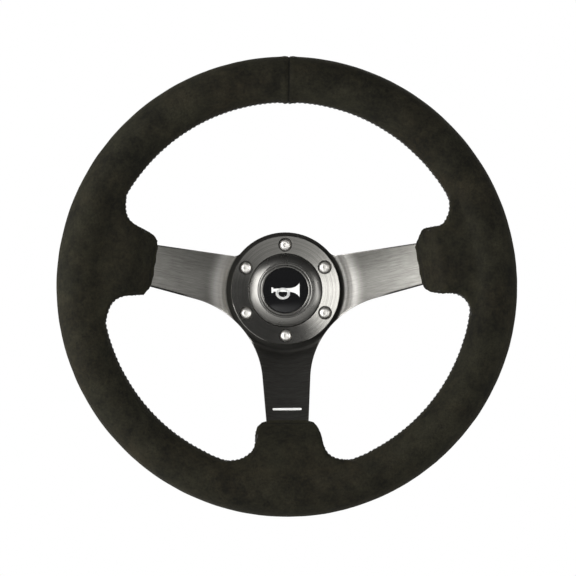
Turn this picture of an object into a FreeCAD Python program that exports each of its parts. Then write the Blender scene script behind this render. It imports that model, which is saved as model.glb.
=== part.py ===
"""Three-spoke deep-dish steering wheel with a horn button, on a ball-lock quick-release hub.

Every sub-part is drawn in a bench frame: x to the right, y towards twelve o'clock, z along the
steering axis from the column towards the driver, with z = 0 on the face that bolts to the column
boss. BENCH_TO_ROW then stands the wheel up, so that the driver looks along +Y and +Z is up.
"""

import FreeCAD, Part
import math
import os

import Sketcher
from FreeCAD import Placement, Rotation, Vector

BENCH_TO_ROW = Placement(Vector(0, 0, 0), Rotation(Vector(1, 0, 0), 90))
OUT = "parts"
nodes = []

# ---------------------------------------------------------------- driving dimensions, mm and degrees
DIMS = [
    # rim and grip
    ("wheel_dia", 350.0),
    ("rim_width", 35.0),
    ("rim_depth", 30.0),
    ("skin", 1.2),
    ("rod_dia", 9.0),
    # dished frame
    ("dish_rise", 74.0),
    ("dish_slope", 45.0),
    ("plate_thick", 4.0),
    ("plate_hub_radius", 44.8),
    ("plate_bore_radius", 26.4),
    ("hub_bend_at", 47.0),
    ("hub_bend_radius", 8.0),
    ("rim_bend_radius", 12.0),
    ("plate_end_gap", 0.3),
    ("spoke_up_angle", 9.6),
    ("frame_start_at", 20.0),
    ("prism_margin", 10.0),
    ("spoke_inner_half", 19.4),
    ("spoke_outer_half", 14.6),
    ("spoke_inner_at", 50.0),
    ("spoke_outer_at", 125.0),
    ("web_reach", 44.2),
    ("shoulder_radius", 6.0),
    ("bead_reach", 2.0),
    ("bead_slant", 1.2),
    ("bead_end", 3.6),
    ("bead_toe_half", 2.6),
    ("bead_half", 3.6),
    ("bead_side_gap", 2.2),
    ("bead_from", 140.0),
    ("bead_to", 160.0),
    ("bead_prism_half", 6.0),
    # sleeves of the cover that run down the spokes
    ("grip_thick", 15.0),
    ("grip_end_at", 102.0),
    ("grip_end_half", 16.6),
    ("grip_corner_at", 106.5),
    ("grip_corner_half", 20.6),
    ("grip_wide_at", 113.0),
    ("grip_wide_half", 24.8),
    ("grip_neck_at", 118.0),
    ("grip_neck_half", 25.8),
    ("neck_hollow_half", 41.0),
    ("neck_hollow_radius", 15.0),
    ("grip_root_at", 150.0),
    ("grip_root_half", 52.0),
    ("grip_lead", 8.0),
    ("sleeve_below", 60.0),
    ("sleeve_tall", 90.0),
    ("sleeve_root_gap", 7.0),
    ("foam_setback", 2.5),
    ("thread_margin", 19.5),
    ("thread_gap", 0.05),
    # six-bolt pattern
    ("bolt_circle_dia", 70.0),
    ("bolt_count", 6.0),
    ("bolt_clear_dia", 5.5),
    ("bolt_shank_dia", 4.9),
    ("bolt_tap_dia", 5.0),
    ("bolt_head_dia", 9.5),
    ("bolt_head_high", 2.75),
    ("bolt_socket_across", 3.0),
    ("bolt_length", 12.0),
    ("bolt_seat_at", 58.6),
    ("bolt_point", 0.5),
    ("bolt_head_side", 0.5),
    ("bolt_head_dome", 4.4),
    ("bolt_head_flat", 2.1),
    ("bolt_socket_deep", 1.6),
    ("counterbore_dia", 10.6),
    # column-side hub
    ("flange_radius", 42.0),
    ("base_flange_thick", 8.0),
    ("edge_break", 1.0),
    ("overrun", 1.0),
    ("column_bore_radius", 12.0),
    ("column_bore_deep", 14.0),
    ("base_bore_radius", 11.0),
    ("spigot_radius", 16.0),
    ("spigot_tip_at", 37.0),
    ("spline_root_radius", 17.2),
    ("spline_top_radius", 19.0),
    ("spline_count", 12.0),
    ("spline_width", 4.6),
    ("key_width", 8.4),
    ("spline_end_at", 24.0),
    ("spline_play", 0.06),
    ("spline_top_play", 0.1),
    ("spline_root_cover", 2.0),
    ("spline_foot", 0.5),
    ("plug_low_at", 20.0),
    ("plug_drop", 1.5),
    ("plug_play", 0.02),
    ("plug_bore_radius", 2.55),
    ("stud_low_at", 15.0),
    ("stud_radius", 2.5),
    ("stud_head_radius", 5.0),
    ("stud_head_thick", 1.0),
    # wheel-side coupler
    ("barrel_start_at", 9.0),
    ("barrel_radius", 22.2),
    ("bore_play", 0.05),
    ("coupler_flange_thick", 8.0),
    ("plate_back_at", 52.0),
    ("coupler_recess_radius", 27.0),
    ("coupler_recess_deep", 4.0),
    ("contact_well_radius", 14.5),
    ("contact_well_at", 40.0),
    ("contact_lip_radius", 12.5),
    ("bore_end_at", 38.0),
    ("clip_groove_deep", 1.0),
    ("clip_groove_play", 0.05),
    ("well_clip_high", 4.2),
    ("well_clip_thick", 1.0),
    ("well_clip_in", 1.9),
    ("well_clip_out", 0.7),
    ("well_groove_wide", 1.1),
    ("well_groove_deep", 0.8),
    # horn contact in the coupler
    ("insulator_play", 0.05),
    ("insulator_side_play", 0.1),
    ("insulator_bore_radius", 2.15),
    ("insulator_floor_thick", 0.9),
    ("insulator_flange_high", 3.9),
    ("insulator_neck_radius", 6.0),
    ("insulator_neck_high", 6.4),
    ("insulator_well_radius", 4.0),
    ("plunger_reach", 0.45),
    ("plunger_radius", 2.0),
    ("plunger_collar_radius", 3.6),
    ("plunger_collar_thick", 1.0),
    ("plunger_tail_radius", 1.4),
    ("plunger_tail_high", 3.2),
    ("terminal_radius", 5.6),
    ("terminal_thick", 0.6),
    ("plunger_spring_radius", 2.7),
    ("plunger_spring_wire", 0.5),
    ("plunger_spring_turns", 5.0),
    ("spring_play", 0.05),
    # locking balls and collar
    ("ball_dia", 8.0),
    ("ball_count", 6.0),
    ("ball_at", 31.5),
    ("ball_centre_radius", 18.4),
    ("ball_play", 0.05),
    ("collar_start_at", 12.3),
    ("collar_end_at", 37.5),
    ("collar_land_radius", 22.3),
    ("collar_land_at", 32.6),
    ("collar_land_end_at", 34.0),
    ("collar_ramp_rate", 0.275),
    ("collar_relief_radius", 24.4),
    ("collar_relief_at", 20.4),
    ("collar_spring_radius", 25.2),
    ("collar_radius", 27.6),
    ("collar_grip_radius", 33.0),
    ("collar_grip_at", 27.5),
    ("collar_grip_thick", 7.0),
    ("collar_scallops", 24.0),
    ("scallop_radius", 2.4),
    ("clip_thick", 1.2),
    ("clip_gap", 0.1),
    ("collar_clip_deep", 0.9),
    ("collar_clip_proud", 1.6),
    ("collar_guide_play", 0.1),
    ("collar_tail_step", 0.6),
    ("collar_round", 1.2),
    ("scallop_offset", 1.3),
    ("collar_spring_wire", 1.0),
    ("collar_spring_turns", 2.6),
    # horn ring and button
    ("ring_radius", 41.8),
    ("ring_edge_break", 0.4),
    ("ring_hole_slant", 0.8),
    ("ring_hole_drop", 0.5),
    ("ring_hole_reach", 10.0),
    ("ring_hole_radius", 27.8),
    ("ring_outer_high", 7.4),
    ("ring_inner_high", 4.6),
    ("ring_recess_radius", 30.4),
    ("ring_recess_deep", 3.4),
    ("button_radius", 27.4),
    ("button_lip_radius", 28.7),
    ("button_edge_high", 5.2),
    ("button_crown_radius", 20.0),
    ("button_shoulder_radius", 21.5),
    ("outer_bead_radius", 20.8),
    ("outer_bead_inner_radius", 19.8),
    ("outer_bead_round", 0.8),
    ("inner_bead_radius", 19.0),
    ("inner_bead_inner_radius", 17.6),
    ("inner_bead_round", 1.1),
    ("bead_drop", 0.3),
    ("bead_groove_deep", 1.0),
    ("bead_groove_draft", 0.1),
    ("lip_low_high", 2.4),
    ("lip_top_high", 3.3),
    ("lip_play", 0.3),
    ("recess_play", 0.2),
    ("skirt_wall", 1.7),
    ("skirt_drop", 4.0),
    ("ceiling_high", 2.2),
    ("boss_radius", 5.0),
    ("boss_gap", 2.9),
    ("badge_deep", 1.8),
    ("badge_play", 0.15),
    ("badge_thick", 1.0),
    ("lens_side", 0.7),
    ("lens_rise", 1.2),
    ("moving_contact_radius", 9.0),
    ("moving_contact_thick", 0.8),
    ("badge_radius", 17.2),
    ("button_top_at", 63.8),
    ("skirt_radius", 24.3),
    ("cup_radius", 26.0),
    ("cup_wall", 1.3),
    ("cup_floor_at", 48.6),
    ("cup_floor_thick", 1.5),
    ("housing_flange_thick", 1.0),
    ("fixed_contact_thick", 0.7),
    ("horn_spring_radius", 17.0),
    ("horn_spring_wire", 1.0),
    ("horn_spring_turns", 3.0),
    ("washer_half", 1.5),
    ("washer_thick", 0.5),
    ("slot_overrun", 0.5),
    ("blade_wide", 4.8),
    ("blade_thick", 0.8),
    ("blade_low_at", 45.6),
    ("live_blade_at", 10.1),
    ("earth_blade_at", 11.5),
    ("lead_radius", 0.65),
    ("lead_bend_radius", 5.0),
    ("lead_lift", 7.1),
    ("lead_start", 2.5),
    ("lead_end_gap", 1.2),
    ("stitch_radius", 0.6),
]

doc = FreeCAD.newDocument("quick_release_wheel")
sheet = doc.addObject("Spreadsheet::Sheet", "dims")
for row, (alias, value) in enumerate(DIMS, start=1):
    sheet.set(f"A{row}", alias)
    sheet.set(f"B{row}", str(value))
    sheet.setAlias(f"B{row}", alias)
doc.recompute()


class Size:
    """A length or angle as a spreadsheet expression, together with its present value."""

    def __init__(self, text, value):
        self.text = text
        self.value = value

    def __add__(self, other):
        o = as_size(other)
        return Size(f"({self.text} + {o.text})", self.value + o.value)

    def __radd__(self, other):
        return as_size(other) + self

    def __sub__(self, other):
        o = as_size(other)
        return Size(f"({self.text} - {o.text})", self.value - o.value)

    def __rsub__(self, other):
        return as_size(other) - self

    def __mul__(self, other):
        o = as_size(other)
        return Size(f"({self.text} * {o.text})", self.value * o.value)

    def __rmul__(self, other):
        return as_size(other) * self

    def __truediv__(self, other):
        o = as_size(other)
        return Size(f"({self.text} / {o.text})", self.value / o.value)


def as_size(number):
    if isinstance(number, Size):
        return number
    return Size(f"({float(number)!r})", float(number))


def trig(name, degrees):
    """sin, cos or tan of a Size in degrees."""
    turned = as_size(degrees)
    return Size(f"{name}({turned.text} * 1deg)", getattr(math, name)(math.radians(turned.value)))


class Dims:
    """Reads a spreadsheet alias as a Size: d.wheel_dia."""

    values = dict(DIMS)

    def __getattr__(self, alias):
        return Size(f"dims.{alias}", self.values[alias])


d = Dims()


# ---------------------------------------------------------------- helpers
def bind(thing, prop, size):
    thing.setExpression(prop, as_size(size).text)


def new_body(label):
    body = doc.addObject("PartDesign::Body", label)
    body.Label = label
    return body


def origin_plane(body, role):
    return [o for o in body.Origin.OriginFeatures if o.Role == role][0]


def new_sketch(body, name, role="XZ_Plane", lift=None):
    """A sketch on one of the body's own origin planes. XZ_Plane holds (radius, z) profiles."""
    sketch = body.newObject("Sketcher::SketchObject", name)
    sketch.AttachmentSupport = [(origin_plane(body, role), "")]
    sketch.MapMode = "FlatFace"
    if lift is not None:
        bind(sketch, "AttachmentOffset.Base.z", lift)
        sketch.AttachmentOffset = Placement(Vector(0, 0, as_size(lift).value), Rotation())
    return sketch


def pin_point(sketch, geo, pos, x, y):
    """Ties a sketch point to the origin with named, bound distances."""
    for axis, kind, size in ((-2, "DistanceX", as_size(x)), (-1, "DistanceY", as_size(y))):
        if abs(size.value) < 1e-9:
            sketch.addConstraint(Sketcher.Constraint("PointOnObject", geo, pos, axis))
            continue
        index = sketch.addConstraint(Sketcher.Constraint(kind, -1, 1, geo, pos, size.value))
        bind(sketch, f"Constraints[{index}]", size)


def arc_between(start, end, radius):
    """The minor arc of a signed radius; positive puts its centre left of the way travelled."""
    chord = end - start
    left = Vector(-chord.y, chord.x, 0).normalize()
    middle = (start + end) * 0.5
    reach = math.sqrt(radius * radius - chord.Length**2 / 4)
    sagitta = math.copysign(abs(radius) - reach, radius)
    return Part.Arc(start, middle - left * sagitta, end)


def add_polygon(sketch, points):
    """A closed outline through (x, y) Sizes; (x, y, radius) starts an arc to the next point."""
    at = [Vector(as_size(p[0]).value, as_size(p[1]).value, 0) for p in points]
    first = sketch.GeometryCount
    for k, point in enumerate(points):
        here, there = at[k], at[(k + 1) % len(at)]
        if len(point) == 2:
            sketch.addGeometry(Part.LineSegment(here, there))
            continue
        sketch.addGeometry(arc_between(here, there, as_size(point[2]).value))
        index = sketch.addConstraint(
            Sketcher.Constraint("Radius", first + k, abs(as_size(point[2]).value))
        )
        bind(sketch, f"Constraints[{index}]", abs_size(point[2]))
    tail = [near_end(sketch, first + k, at[(k + 1) % len(at)]) for k in range(len(at))]
    for k in range(len(at)):
        following = first + (k + 1) % len(at)
        head = 3 - tail[(k + 1) % len(at)]
        sketch.addConstraint(Sketcher.Constraint("Coincident", first + k, tail[k], following, head))
    for k, point in enumerate(points):
        pin_point(sketch, first + k, 3 - tail[k], point[0], point[1])


def near_end(sketch, geo, place):
    """1 or 2: which end of a line or arc lies at the given place."""
    return min((1, 2), key=lambda pos: (sketch.getPoint(geo, pos) - place).Length)


def abs_size(radius):
    size = as_size(radius)
    return size if size.value > 0 else 0 - size


def add_circle(sketch, x, y, radius):
    centre = Vector(as_size(x).value, as_size(y).value, 0)
    geo = sketch.addGeometry(Part.Circle(centre, Vector(0, 0, 1), as_size(radius).value))
    pin_point(sketch, geo, 3, x, y)
    index = sketch.addConstraint(Sketcher.Constraint("Radius", geo, as_size(radius).value))
    bind(sketch, f"Constraints[{index}]", radius)


def revolve(body, name, outline, angle=360.0, role="XZ_Plane"):
    """Turns a closed (radius, z) outline about the steering axis, starting in the given plane."""
    sketch = new_sketch(body, name + "_profile", role)
    add_polygon(sketch, outline)
    doc.recompute()
    return turn(body, name, sketch, angle)


def turn(body, name, sketch, angle=360.0, kind="PartDesign::Revolution"):
    feature = body.newObject(kind, name)
    feature.Profile = sketch
    feature.ReferenceAxis = (sketch, ["V_Axis"])
    feature.Angle = angle
    doc.recompute()
    return feature


def pad(body, name, sketch, length, reverse=False):
    feature = body.newObject("PartDesign::Pad", name)
    feature.Profile = sketch
    bind(feature, "Length", length)
    feature.Reversed = reverse
    doc.recompute()
    return feature


def pocket(body, name, sketch, length, reverse=False):
    """Cuts a sketch into the body and checks that it removed something."""
    before = body.Shape.Volume
    feature = body.newObject("PartDesign::Pocket", name)
    feature.Profile = sketch
    bind(feature, "Length", length)
    feature.Reversed = reverse
    doc.recompute()
    if body.Shape.Volume > before - 1e-3:
        raise RuntimeError(f"{body.Label}.{name} cut nothing")
    return feature


def around_axis(body, feature, count):
    """Repeats a feature evenly round the steering axis."""
    pattern = body.newObject("PartDesign::PolarPattern", feature.Name + "_pattern")
    pattern.Originals = [feature]
    pattern.Axis = ([o for o in body.Origin.OriginFeatures if o.Role == "Z_Axis"][0], [""])
    pattern.Angle = 360.0
    bind(pattern, "Occurrences", count)
    body.Tip = pattern
    doc.recompute()
    return pattern


def ring_edges(shape, wanted):
    """Names of the full-circle edges about the axis at the given (radius, z) places."""
    names = []
    for index, edge in enumerate(shape.Edges, start=1):
        curve = edge.Curve
        if not isinstance(curve, Part.Circle):
            continue
        for radius, z in wanted:
            near = abs(curve.Radius - as_size(radius).value) < 1e-3
            if near and abs(curve.Center.z - as_size(z).value) < 1e-3:
                names.append(f"Edge{index}")
    return names


def round_rings(body, name, radius, places, kind="PartDesign::Fillet"):
    """Rounds (or chamfers) circular edges given by their (radius, z)."""
    base = body.Tip
    names = ring_edges(base.Shape, places)
    if len(names) < len(places):
        raise RuntimeError(f"{body.Label}.{name} found {len(names)} of {len(places)} edges")
    feature = body.newObject(kind, name)
    feature.Base = (base, names)
    bind(feature, "Radius" if kind == "PartDesign::Fillet" else "Size", radius)
    doc.recompute()
    return feature


def boolean(kind, label, *operands):
    """Part::Cut, Part::Common, or a fusion of two or more objects."""
    made = doc.addObject(kind, label)
    if kind in ("Part::MultiFuse", "Part::MultiCommon"):
        made.Shapes = list(operands)
    else:
        made.Base, made.Tool = operands
    made.Label = label
    doc.recompute()
    return made


def stand_up(thing, shift=None):
    """Gives a finished sub-part its Placement in the row frame and books it for export."""
    thing.Placement = BENCH_TO_ROW.multiply(shift or Placement())
    nodes.append(thing)
    return thing


def group(label, *things):
    """A sub-part made of one or more unplaced objects."""
    made = doc.addObject("Part::Compound", label)
    made.Links = list(things)
    made.Label = label
    doc.recompute()
    return stand_up(made)


def coil(label, radius, wire, low, high, turns):
    """A compression spring round the axis between two heights."""
    body = new_body(label)
    sketch = new_sketch(body, label + "_wire")
    add_circle(sketch, radius, as_size(low) + as_size(wire) / 2, as_size(wire) / 2)
    doc.recompute()
    helix = body.newObject("PartDesign::AdditiveHelix", label + "_helix")
    helix.Profile = sketch
    helix.ReferenceAxis = (sketch, ["V_Axis"])
    helix.Mode = "height-turns-angle"
    bind(helix, "Height", as_size(high) - low - wire)
    bind(helix, "Turns", turns)
    doc.recompute()
    return body


def bolt_place(index):
    """Centre of one hole of the six-bolt pattern, the first at twelve o'clock."""
    angle = math.radians(90 + index * 360 / d.bolt_count.value)
    radius = d.bolt_circle_dia.value / 2
    return Vector(radius * math.cos(angle), radius * math.sin(angle), 0)


# ---------------------------------------------------------------- heights shared by several pieces
plate_back = d.plate_back_at
plate_front = plate_back + d.plate_thick
plate_mid = plate_back + d.plate_thick / 2
rim_at = plate_mid + d.dish_rise
rim_radius = (d.wheel_dia - d.rim_width) / 2
rod_radius = d.rod_dia / 2
slope_tan = trig("tan", d.dish_slope)
slope_half_tan = trig("tan", d.dish_slope / 2)
rim_bend_at = d.hub_bend_at + d.dish_rise / slope_tan


def dish_band(label, half_thick, start, end):
    """A round dish of even thickness that follows the frame's section from start to end."""
    step = half_thick * slope_half_tan
    body = new_body(label)
    under = [
        (start, plate_mid - half_thick),
        (d.hub_bend_at + step, plate_mid - half_thick),
        (rim_bend_at + step, rim_at - half_thick),
        (end, rim_at - half_thick),
    ]
    over = [
        (end, rim_at + half_thick),
        (rim_bend_at - step, rim_at + half_thick),
        (d.hub_bend_at - step, plate_mid + half_thick),
        (start, plate_mid + half_thick),
    ]
    revolve(body, label + "_dish", under + over, role="YZ_Plane")
    return body, step


# ---------------------------------------------------------------- column side of the quick release
def make_base_hub():
    """Flange that bolts to the column boss, with a splined spigot and a groove for the balls."""
    body = new_body("base_hub")
    outline = [
        (d.column_bore_radius, 0),
        (d.flange_radius, 0),
        (d.flange_radius, d.base_flange_thick),
        (d.spline_root_radius, d.base_flange_thick),
        (d.spline_root_radius, d.spline_end_at),
        (d.spigot_radius, d.spline_end_at),
        (d.spigot_radius, d.spigot_tip_at),
        (d.base_bore_radius, d.spigot_tip_at),
        (d.base_bore_radius, d.column_bore_deep),
        (d.column_bore_radius, d.column_bore_deep),
    ]
    revolve(body, "base_turning", outline)
    round_rings(
        body,
        "base_edges",
        d.edge_break,
        [
            (d.flange_radius, 0),
            (d.flange_radius, d.base_flange_thick),
            (d.spigot_radius, d.spigot_tip_at),
        ],
        "PartDesign::Chamfer",
    )
    tooth = new_sketch(body, "base_tooth_outline", "XY_Plane", d.base_flange_thick - d.spline_foot)
    add_spline_tooth(tooth, d.spline_width, d.spline_top_radius, as_size(0))
    doc.recompute()
    teeth = pad(body, "base_tooth", tooth, d.spline_end_at - d.base_flange_thick + d.spline_foot)
    around_axis(body, teeth, d.spline_count)
    key = new_sketch(body, "base_key_outline", "XY_Plane", d.base_flange_thick - d.spline_foot)
    add_spline_tooth(key, d.key_width, d.spline_top_radius, as_size(0))
    doc.recompute()
    pad(body, "base_key", key, d.spline_end_at - d.base_flange_thick + d.spline_foot)
    groove_sketch = new_sketch(body, "ball_groove_profile")
    add_circle(groove_sketch, d.ball_centre_radius, d.ball_at, d.ball_dia / 2 + d.ball_play)
    doc.recompute()
    before = body.Shape.Volume
    turn(body, "ball_groove", groove_sketch, kind="PartDesign::Groove")
    if body.Shape.Volume > before - 1:
        raise RuntimeError("the ball groove cut nothing")
    hole_sketch = new_sketch(body, "base_bolt_centre", "XY_Plane", d.base_flange_thick)
    add_circle(hole_sketch, 0, d.bolt_circle_dia / 2, d.bolt_clear_dia / 2)
    doc.recompute()
    hole = body.newObject("PartDesign::Hole", "base_bolt_hole")
    hole.Profile = hole_sketch
    doc.recompute()
    bind(hole, "Diameter", d.bolt_clear_dia)
    hole.HoleCutType = "Countersink"
    hole.HoleCutCustomValues = True
    bind(hole, "HoleCutDiameter", d.counterbore_dia)
    hole.HoleCutCountersinkAngle = 90.0
    hole.DepthType = "ThroughAll"
    doc.recompute()
    around_axis(body, hole, d.bolt_count)
    return stand_up(body)


def add_spline_tooth(sketch, width, top, play):
    """One straight-sided tooth at twelve o'clock, rooted inside the spigot wall."""
    half = width / 2 + play
    root = d.spline_root_radius - d.spline_root_cover
    add_polygon(sketch, [(half, root), (half, top), (0 - half, top), (0 - half, root)])


def make_base_insulator():
    """Moulded plug in the spigot's bore, which carries the horn contact."""
    body = new_body("base_insulator")
    inner, outer = d.plug_bore_radius, d.base_bore_radius - d.plug_play
    low, top = d.plug_low_at, d.spigot_tip_at - d.plug_drop
    revolve(body, "plug", [(inner, low), (outer, low), (outer, top), (inner, top)])
    return stand_up(body)


def make_base_contact():
    """Brass stud with a flat head that the plunger touches."""
    body = new_body("base_contact")
    seat = d.spigot_tip_at - d.plug_drop
    top = seat + d.stud_head_thick
    outline = [
        (0, d.stud_low_at),
        (d.stud_radius, d.stud_low_at),
        (d.stud_radius, seat),
        (d.stud_head_radius, seat),
        (d.stud_head_radius, top),
        (0, top),
    ]
    revolve(body, "stud", outline)
    return stand_up(body)


# ---------------------------------------------------------------- wheel side of the quick release
flange_back = plate_back - d.coupler_flange_thick
recess_floor = plate_back - d.coupler_recess_deep


def make_coupler_body():
    """Barrel that slides over the spigot, with the flange that the wheel bolts to."""
    body = new_body("coupler_body")
    female_root = d.spline_root_radius + d.spline_play
    spline_end = d.spline_end_at + d.overrun
    bore = d.spigot_radius + d.bore_play
    clip_low = d.collar_start_at - d.clip_gap - d.clip_thick
    clip_groove = d.barrel_radius - d.clip_groove_deep
    groove_low = clip_low - d.clip_groove_play
    groove_high = clip_low + d.clip_thick + d.clip_groove_play
    well_groove_low = d.contact_well_at + d.well_clip_high
    well_groove_high = well_groove_low + d.well_groove_wide
    well_groove_radius = d.contact_well_radius + d.well_groove_deep
    outline = [
        (female_root, d.barrel_start_at),
        (d.barrel_radius, d.barrel_start_at),
        (d.barrel_radius, groove_low),
        (clip_groove, groove_low),
        (clip_groove, groove_high),
        (d.barrel_radius, groove_high),
        (d.barrel_radius, flange_back),
        (d.flange_radius, flange_back),
        (d.flange_radius, plate_back),
        (d.coupler_recess_radius, plate_back),
        (d.coupler_recess_radius, recess_floor),
        (d.contact_well_radius, recess_floor),
        (d.contact_well_radius, well_groove_high),
        (well_groove_radius, well_groove_high),
        (well_groove_radius, well_groove_low),
        (d.contact_well_radius, well_groove_low),
        (d.contact_well_radius, d.contact_well_at),
        (d.contact_lip_radius, d.contact_well_at),
        (d.contact_lip_radius, d.bore_end_at),
        (bore, d.bore_end_at),
        (bore, spline_end),
        (female_root, spline_end),
    ]
    revolve(body, "coupler_turning", outline)
    round_rings(
        body,
        "coupler_edges",
        d.edge_break,
        [(d.flange_radius, flange_back), (d.flange_radius, plate_back)],
        "PartDesign::Chamfer",
    )
    length = spline_end - d.barrel_start_at
    for name, width in (("coupler_slot", d.spline_width), ("coupler_keyway", d.key_width)):
        slot_sketch = new_sketch(body, name + "_outline", "XY_Plane", d.barrel_start_at)
        add_spline_tooth(slot_sketch, width, d.spline_top_radius + d.spline_top_play, d.spline_play)
        doc.recompute()
        slot = pocket(body, name, slot_sketch, length, reverse=True)
        if name == "coupler_slot":
            around_axis(body, slot, d.spline_count)
    ball_sketch = new_sketch(body, "ball_hole_outline", "XZ_Plane")
    add_circle(ball_sketch, 0, d.ball_at, d.ball_dia / 2 + d.ball_play)
    doc.recompute()
    ball_hole = pocket(body, "ball_hole", ball_sketch, d.barrel_radius + d.overrun)
    around_axis(body, ball_hole, d.ball_count)
    tap_sketch = new_sketch(body, "coupler_tap_outline", "XY_Plane", plate_back)
    add_circle(tap_sketch, 0, d.bolt_circle_dia / 2, d.bolt_tap_dia / 2)
    doc.recompute()
    tap = pocket(body, "coupler_tap", tap_sketch, d.coupler_flange_thick + d.overrun)
    around_axis(body, tap, d.bolt_count)
    return stand_up(body)


def make_lock_collar():
    """Sliding collar: its land holds the balls in, its ramp lets them out."""
    body = new_body("lock_collar")
    guide = d.barrel_radius + d.collar_guide_play
    ramp_drop = (d.collar_relief_radius - d.collar_land_radius) / d.collar_ramp_rate
    grip_low = d.collar_grip_at
    grip_high = d.collar_grip_at + d.collar_grip_thick
    tail = d.collar_radius + d.collar_tail_step
    outline = [
        (guide, d.collar_start_at),
        (d.collar_radius, d.collar_start_at),
        (d.collar_radius, grip_low),
        (d.collar_grip_radius, grip_low),
        (d.collar_grip_radius, grip_high),
        (tail, grip_high),
        (tail, d.collar_end_at),
        (d.collar_spring_radius, d.collar_end_at),
        (d.collar_spring_radius, d.collar_land_end_at),
        (d.collar_land_radius, d.collar_land_end_at),
        (d.collar_land_radius, d.collar_land_at),
        (d.collar_relief_radius, d.collar_land_at - ramp_drop),
        (d.collar_relief_radius, d.collar_relief_at),
        (guide, d.collar_relief_at),
    ]
    revolve(body, "collar_turning", outline)
    round_rings(
        body,
        "collar_rounds",
        d.collar_round,
        [(d.collar_grip_radius, grip_low), (d.collar_grip_radius, grip_high)],
    )
    scallop_sketch = new_sketch(body, "scallop_outline", "XY_Plane", grip_low - d.overrun)
    add_circle(scallop_sketch, 0, d.collar_grip_radius + d.scallop_offset, d.scallop_radius)
    doc.recompute()
    length = d.collar_grip_thick + d.overrun * 2
    scallop = pocket(body, "scallop", scallop_sketch, length, reverse=True)
    around_axis(body, scallop, d.collar_scallops)
    return stand_up(body)


def make_collar_keepers():
    """Spring that pushes the collar home and the ring that it stops against."""
    radius = (d.barrel_radius + d.collar_spring_radius) / 2
    low, high = d.collar_land_end_at + d.spring_play, flange_back - d.spring_play
    turns = d.collar_spring_turns
    spring = coil("collar_spring", radius, d.collar_spring_wire, low, high, turns)
    stand_up(spring)
    clip_low = d.collar_start_at - d.clip_gap - d.clip_thick
    inner, outer = d.barrel_radius - d.collar_clip_deep, d.barrel_radius + d.collar_clip_proud
    make_clip("collar_clip", inner, outer, clip_low, d.clip_thick)


def make_clip(label, inner, outer, low, thick):
    """An open retaining ring of rectangular section."""
    body = new_body(label)
    low = as_size(low)
    thick = as_size(thick)
    outline = [(inner, low), (outer, low), (outer, low + thick), (inner, low + thick)]
    revolve(body, label + "_bar", outline, angle=325.0)
    return stand_up(body)


def make_balls():
    """Hardened balls, one node each, because each slides in its own hole."""
    made = []
    for index in range(int(d.ball_count.value)):
        body = new_body(f"lock_ball_{index + 1}")
        ball = body.newObject("PartDesign::AdditiveSphere", f"ball_{index + 1}")
        bind(ball, "Radius", d.ball_dia / 2)
        doc.recompute()
        angle = math.radians(90 + index * 360 / d.ball_count.value)
        radius = d.ball_centre_radius.value
        centre = Vector(radius * math.cos(angle), radius * math.sin(angle), d.ball_at.value)
        made.append(stand_up(body, Placement(centre, Rotation())))
    return made


def make_contact_set():
    """Insulator, sprung plunger and terminal that carry the horn circuit across the joint."""
    insulator = new_body("contact_insulator")
    low = d.contact_well_at + d.insulator_play
    floor, neck = low + d.insulator_floor_thick, low + d.insulator_neck_high
    flange = low + d.insulator_flange_high
    outer = d.contact_well_radius - d.insulator_side_play
    outline = [
        (d.insulator_bore_radius, low),
        (outer, low),
        (outer, flange),
        (d.insulator_neck_radius, flange),
        (d.insulator_neck_radius, neck),
        (d.insulator_well_radius, neck),
        (d.insulator_well_radius, floor),
        (d.insulator_bore_radius, floor),
    ]
    revolve(insulator, "insulator_turning", outline)
    plunger = new_body("contact_plunger")
    tip = d.spigot_tip_at - d.plunger_reach
    collar = floor + d.insulator_play
    collar_top = collar + d.plunger_collar_thick
    tail = collar + d.plunger_tail_high
    outline = [
        (0, tip),
        (d.plunger_radius, tip),
        (d.plunger_radius, collar),
        (d.plunger_collar_radius, collar),
        (d.plunger_collar_radius, collar_top),
        (d.plunger_tail_radius, collar_top),
        (d.plunger_tail_radius, tail),
        (0, tail),
    ]
    revolve(plunger, "plunger_turning", outline)
    terminal = new_body("plunger_terminal")
    cap = neck + d.insulator_play
    cap_top, rim = cap + d.terminal_thick, d.terminal_radius
    revolve(terminal, "terminal_cap", [(0, cap), (rim, cap), (rim, cap_top), (0, cap_top)])
    start, end = collar_top + d.spring_play, cap - d.spring_play
    wire, turns = d.plunger_spring_wire, d.plunger_spring_turns
    spring = coil("plunger_spring", d.plunger_spring_radius, wire, start, end, turns)
    for body in (insulator, plunger, terminal, spring):
        stand_up(body)
    well = d.contact_well_radius
    clip_low = d.contact_well_at + d.well_clip_high + d.clip_groove_play
    inner, outer = well - d.well_clip_in, well + d.well_clip_out
    make_clip("insulator_clip", inner, outer, clip_low, d.well_clip_thick)


# ---------------------------------------------------------------- wheel frame
def spoke_angles():
    """Directions of the three spokes in degrees from the +x axis."""
    return [d.spoke_up_angle, 180.0 - d.spoke_up_angle, as_size(270.0)]


def turned(angle, along, across):
    """A point given along and across a spoke, as (x, y) Sizes."""
    c, s = trig("cos", angle), trig("sin", angle)
    return (c * along - s * across, s * along + c * across)


def add_spoke(sketch, angle, stations):
    """A symmetrical outline along one spoke from a list of (distance, half width)."""
    left = [turned(angle, along, half) for along, half in stations]
    right = [turned(angle, along, 0 - as_size(half)) for along, half in reversed(stations)]
    add_polygon(sketch, left + right)


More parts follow.
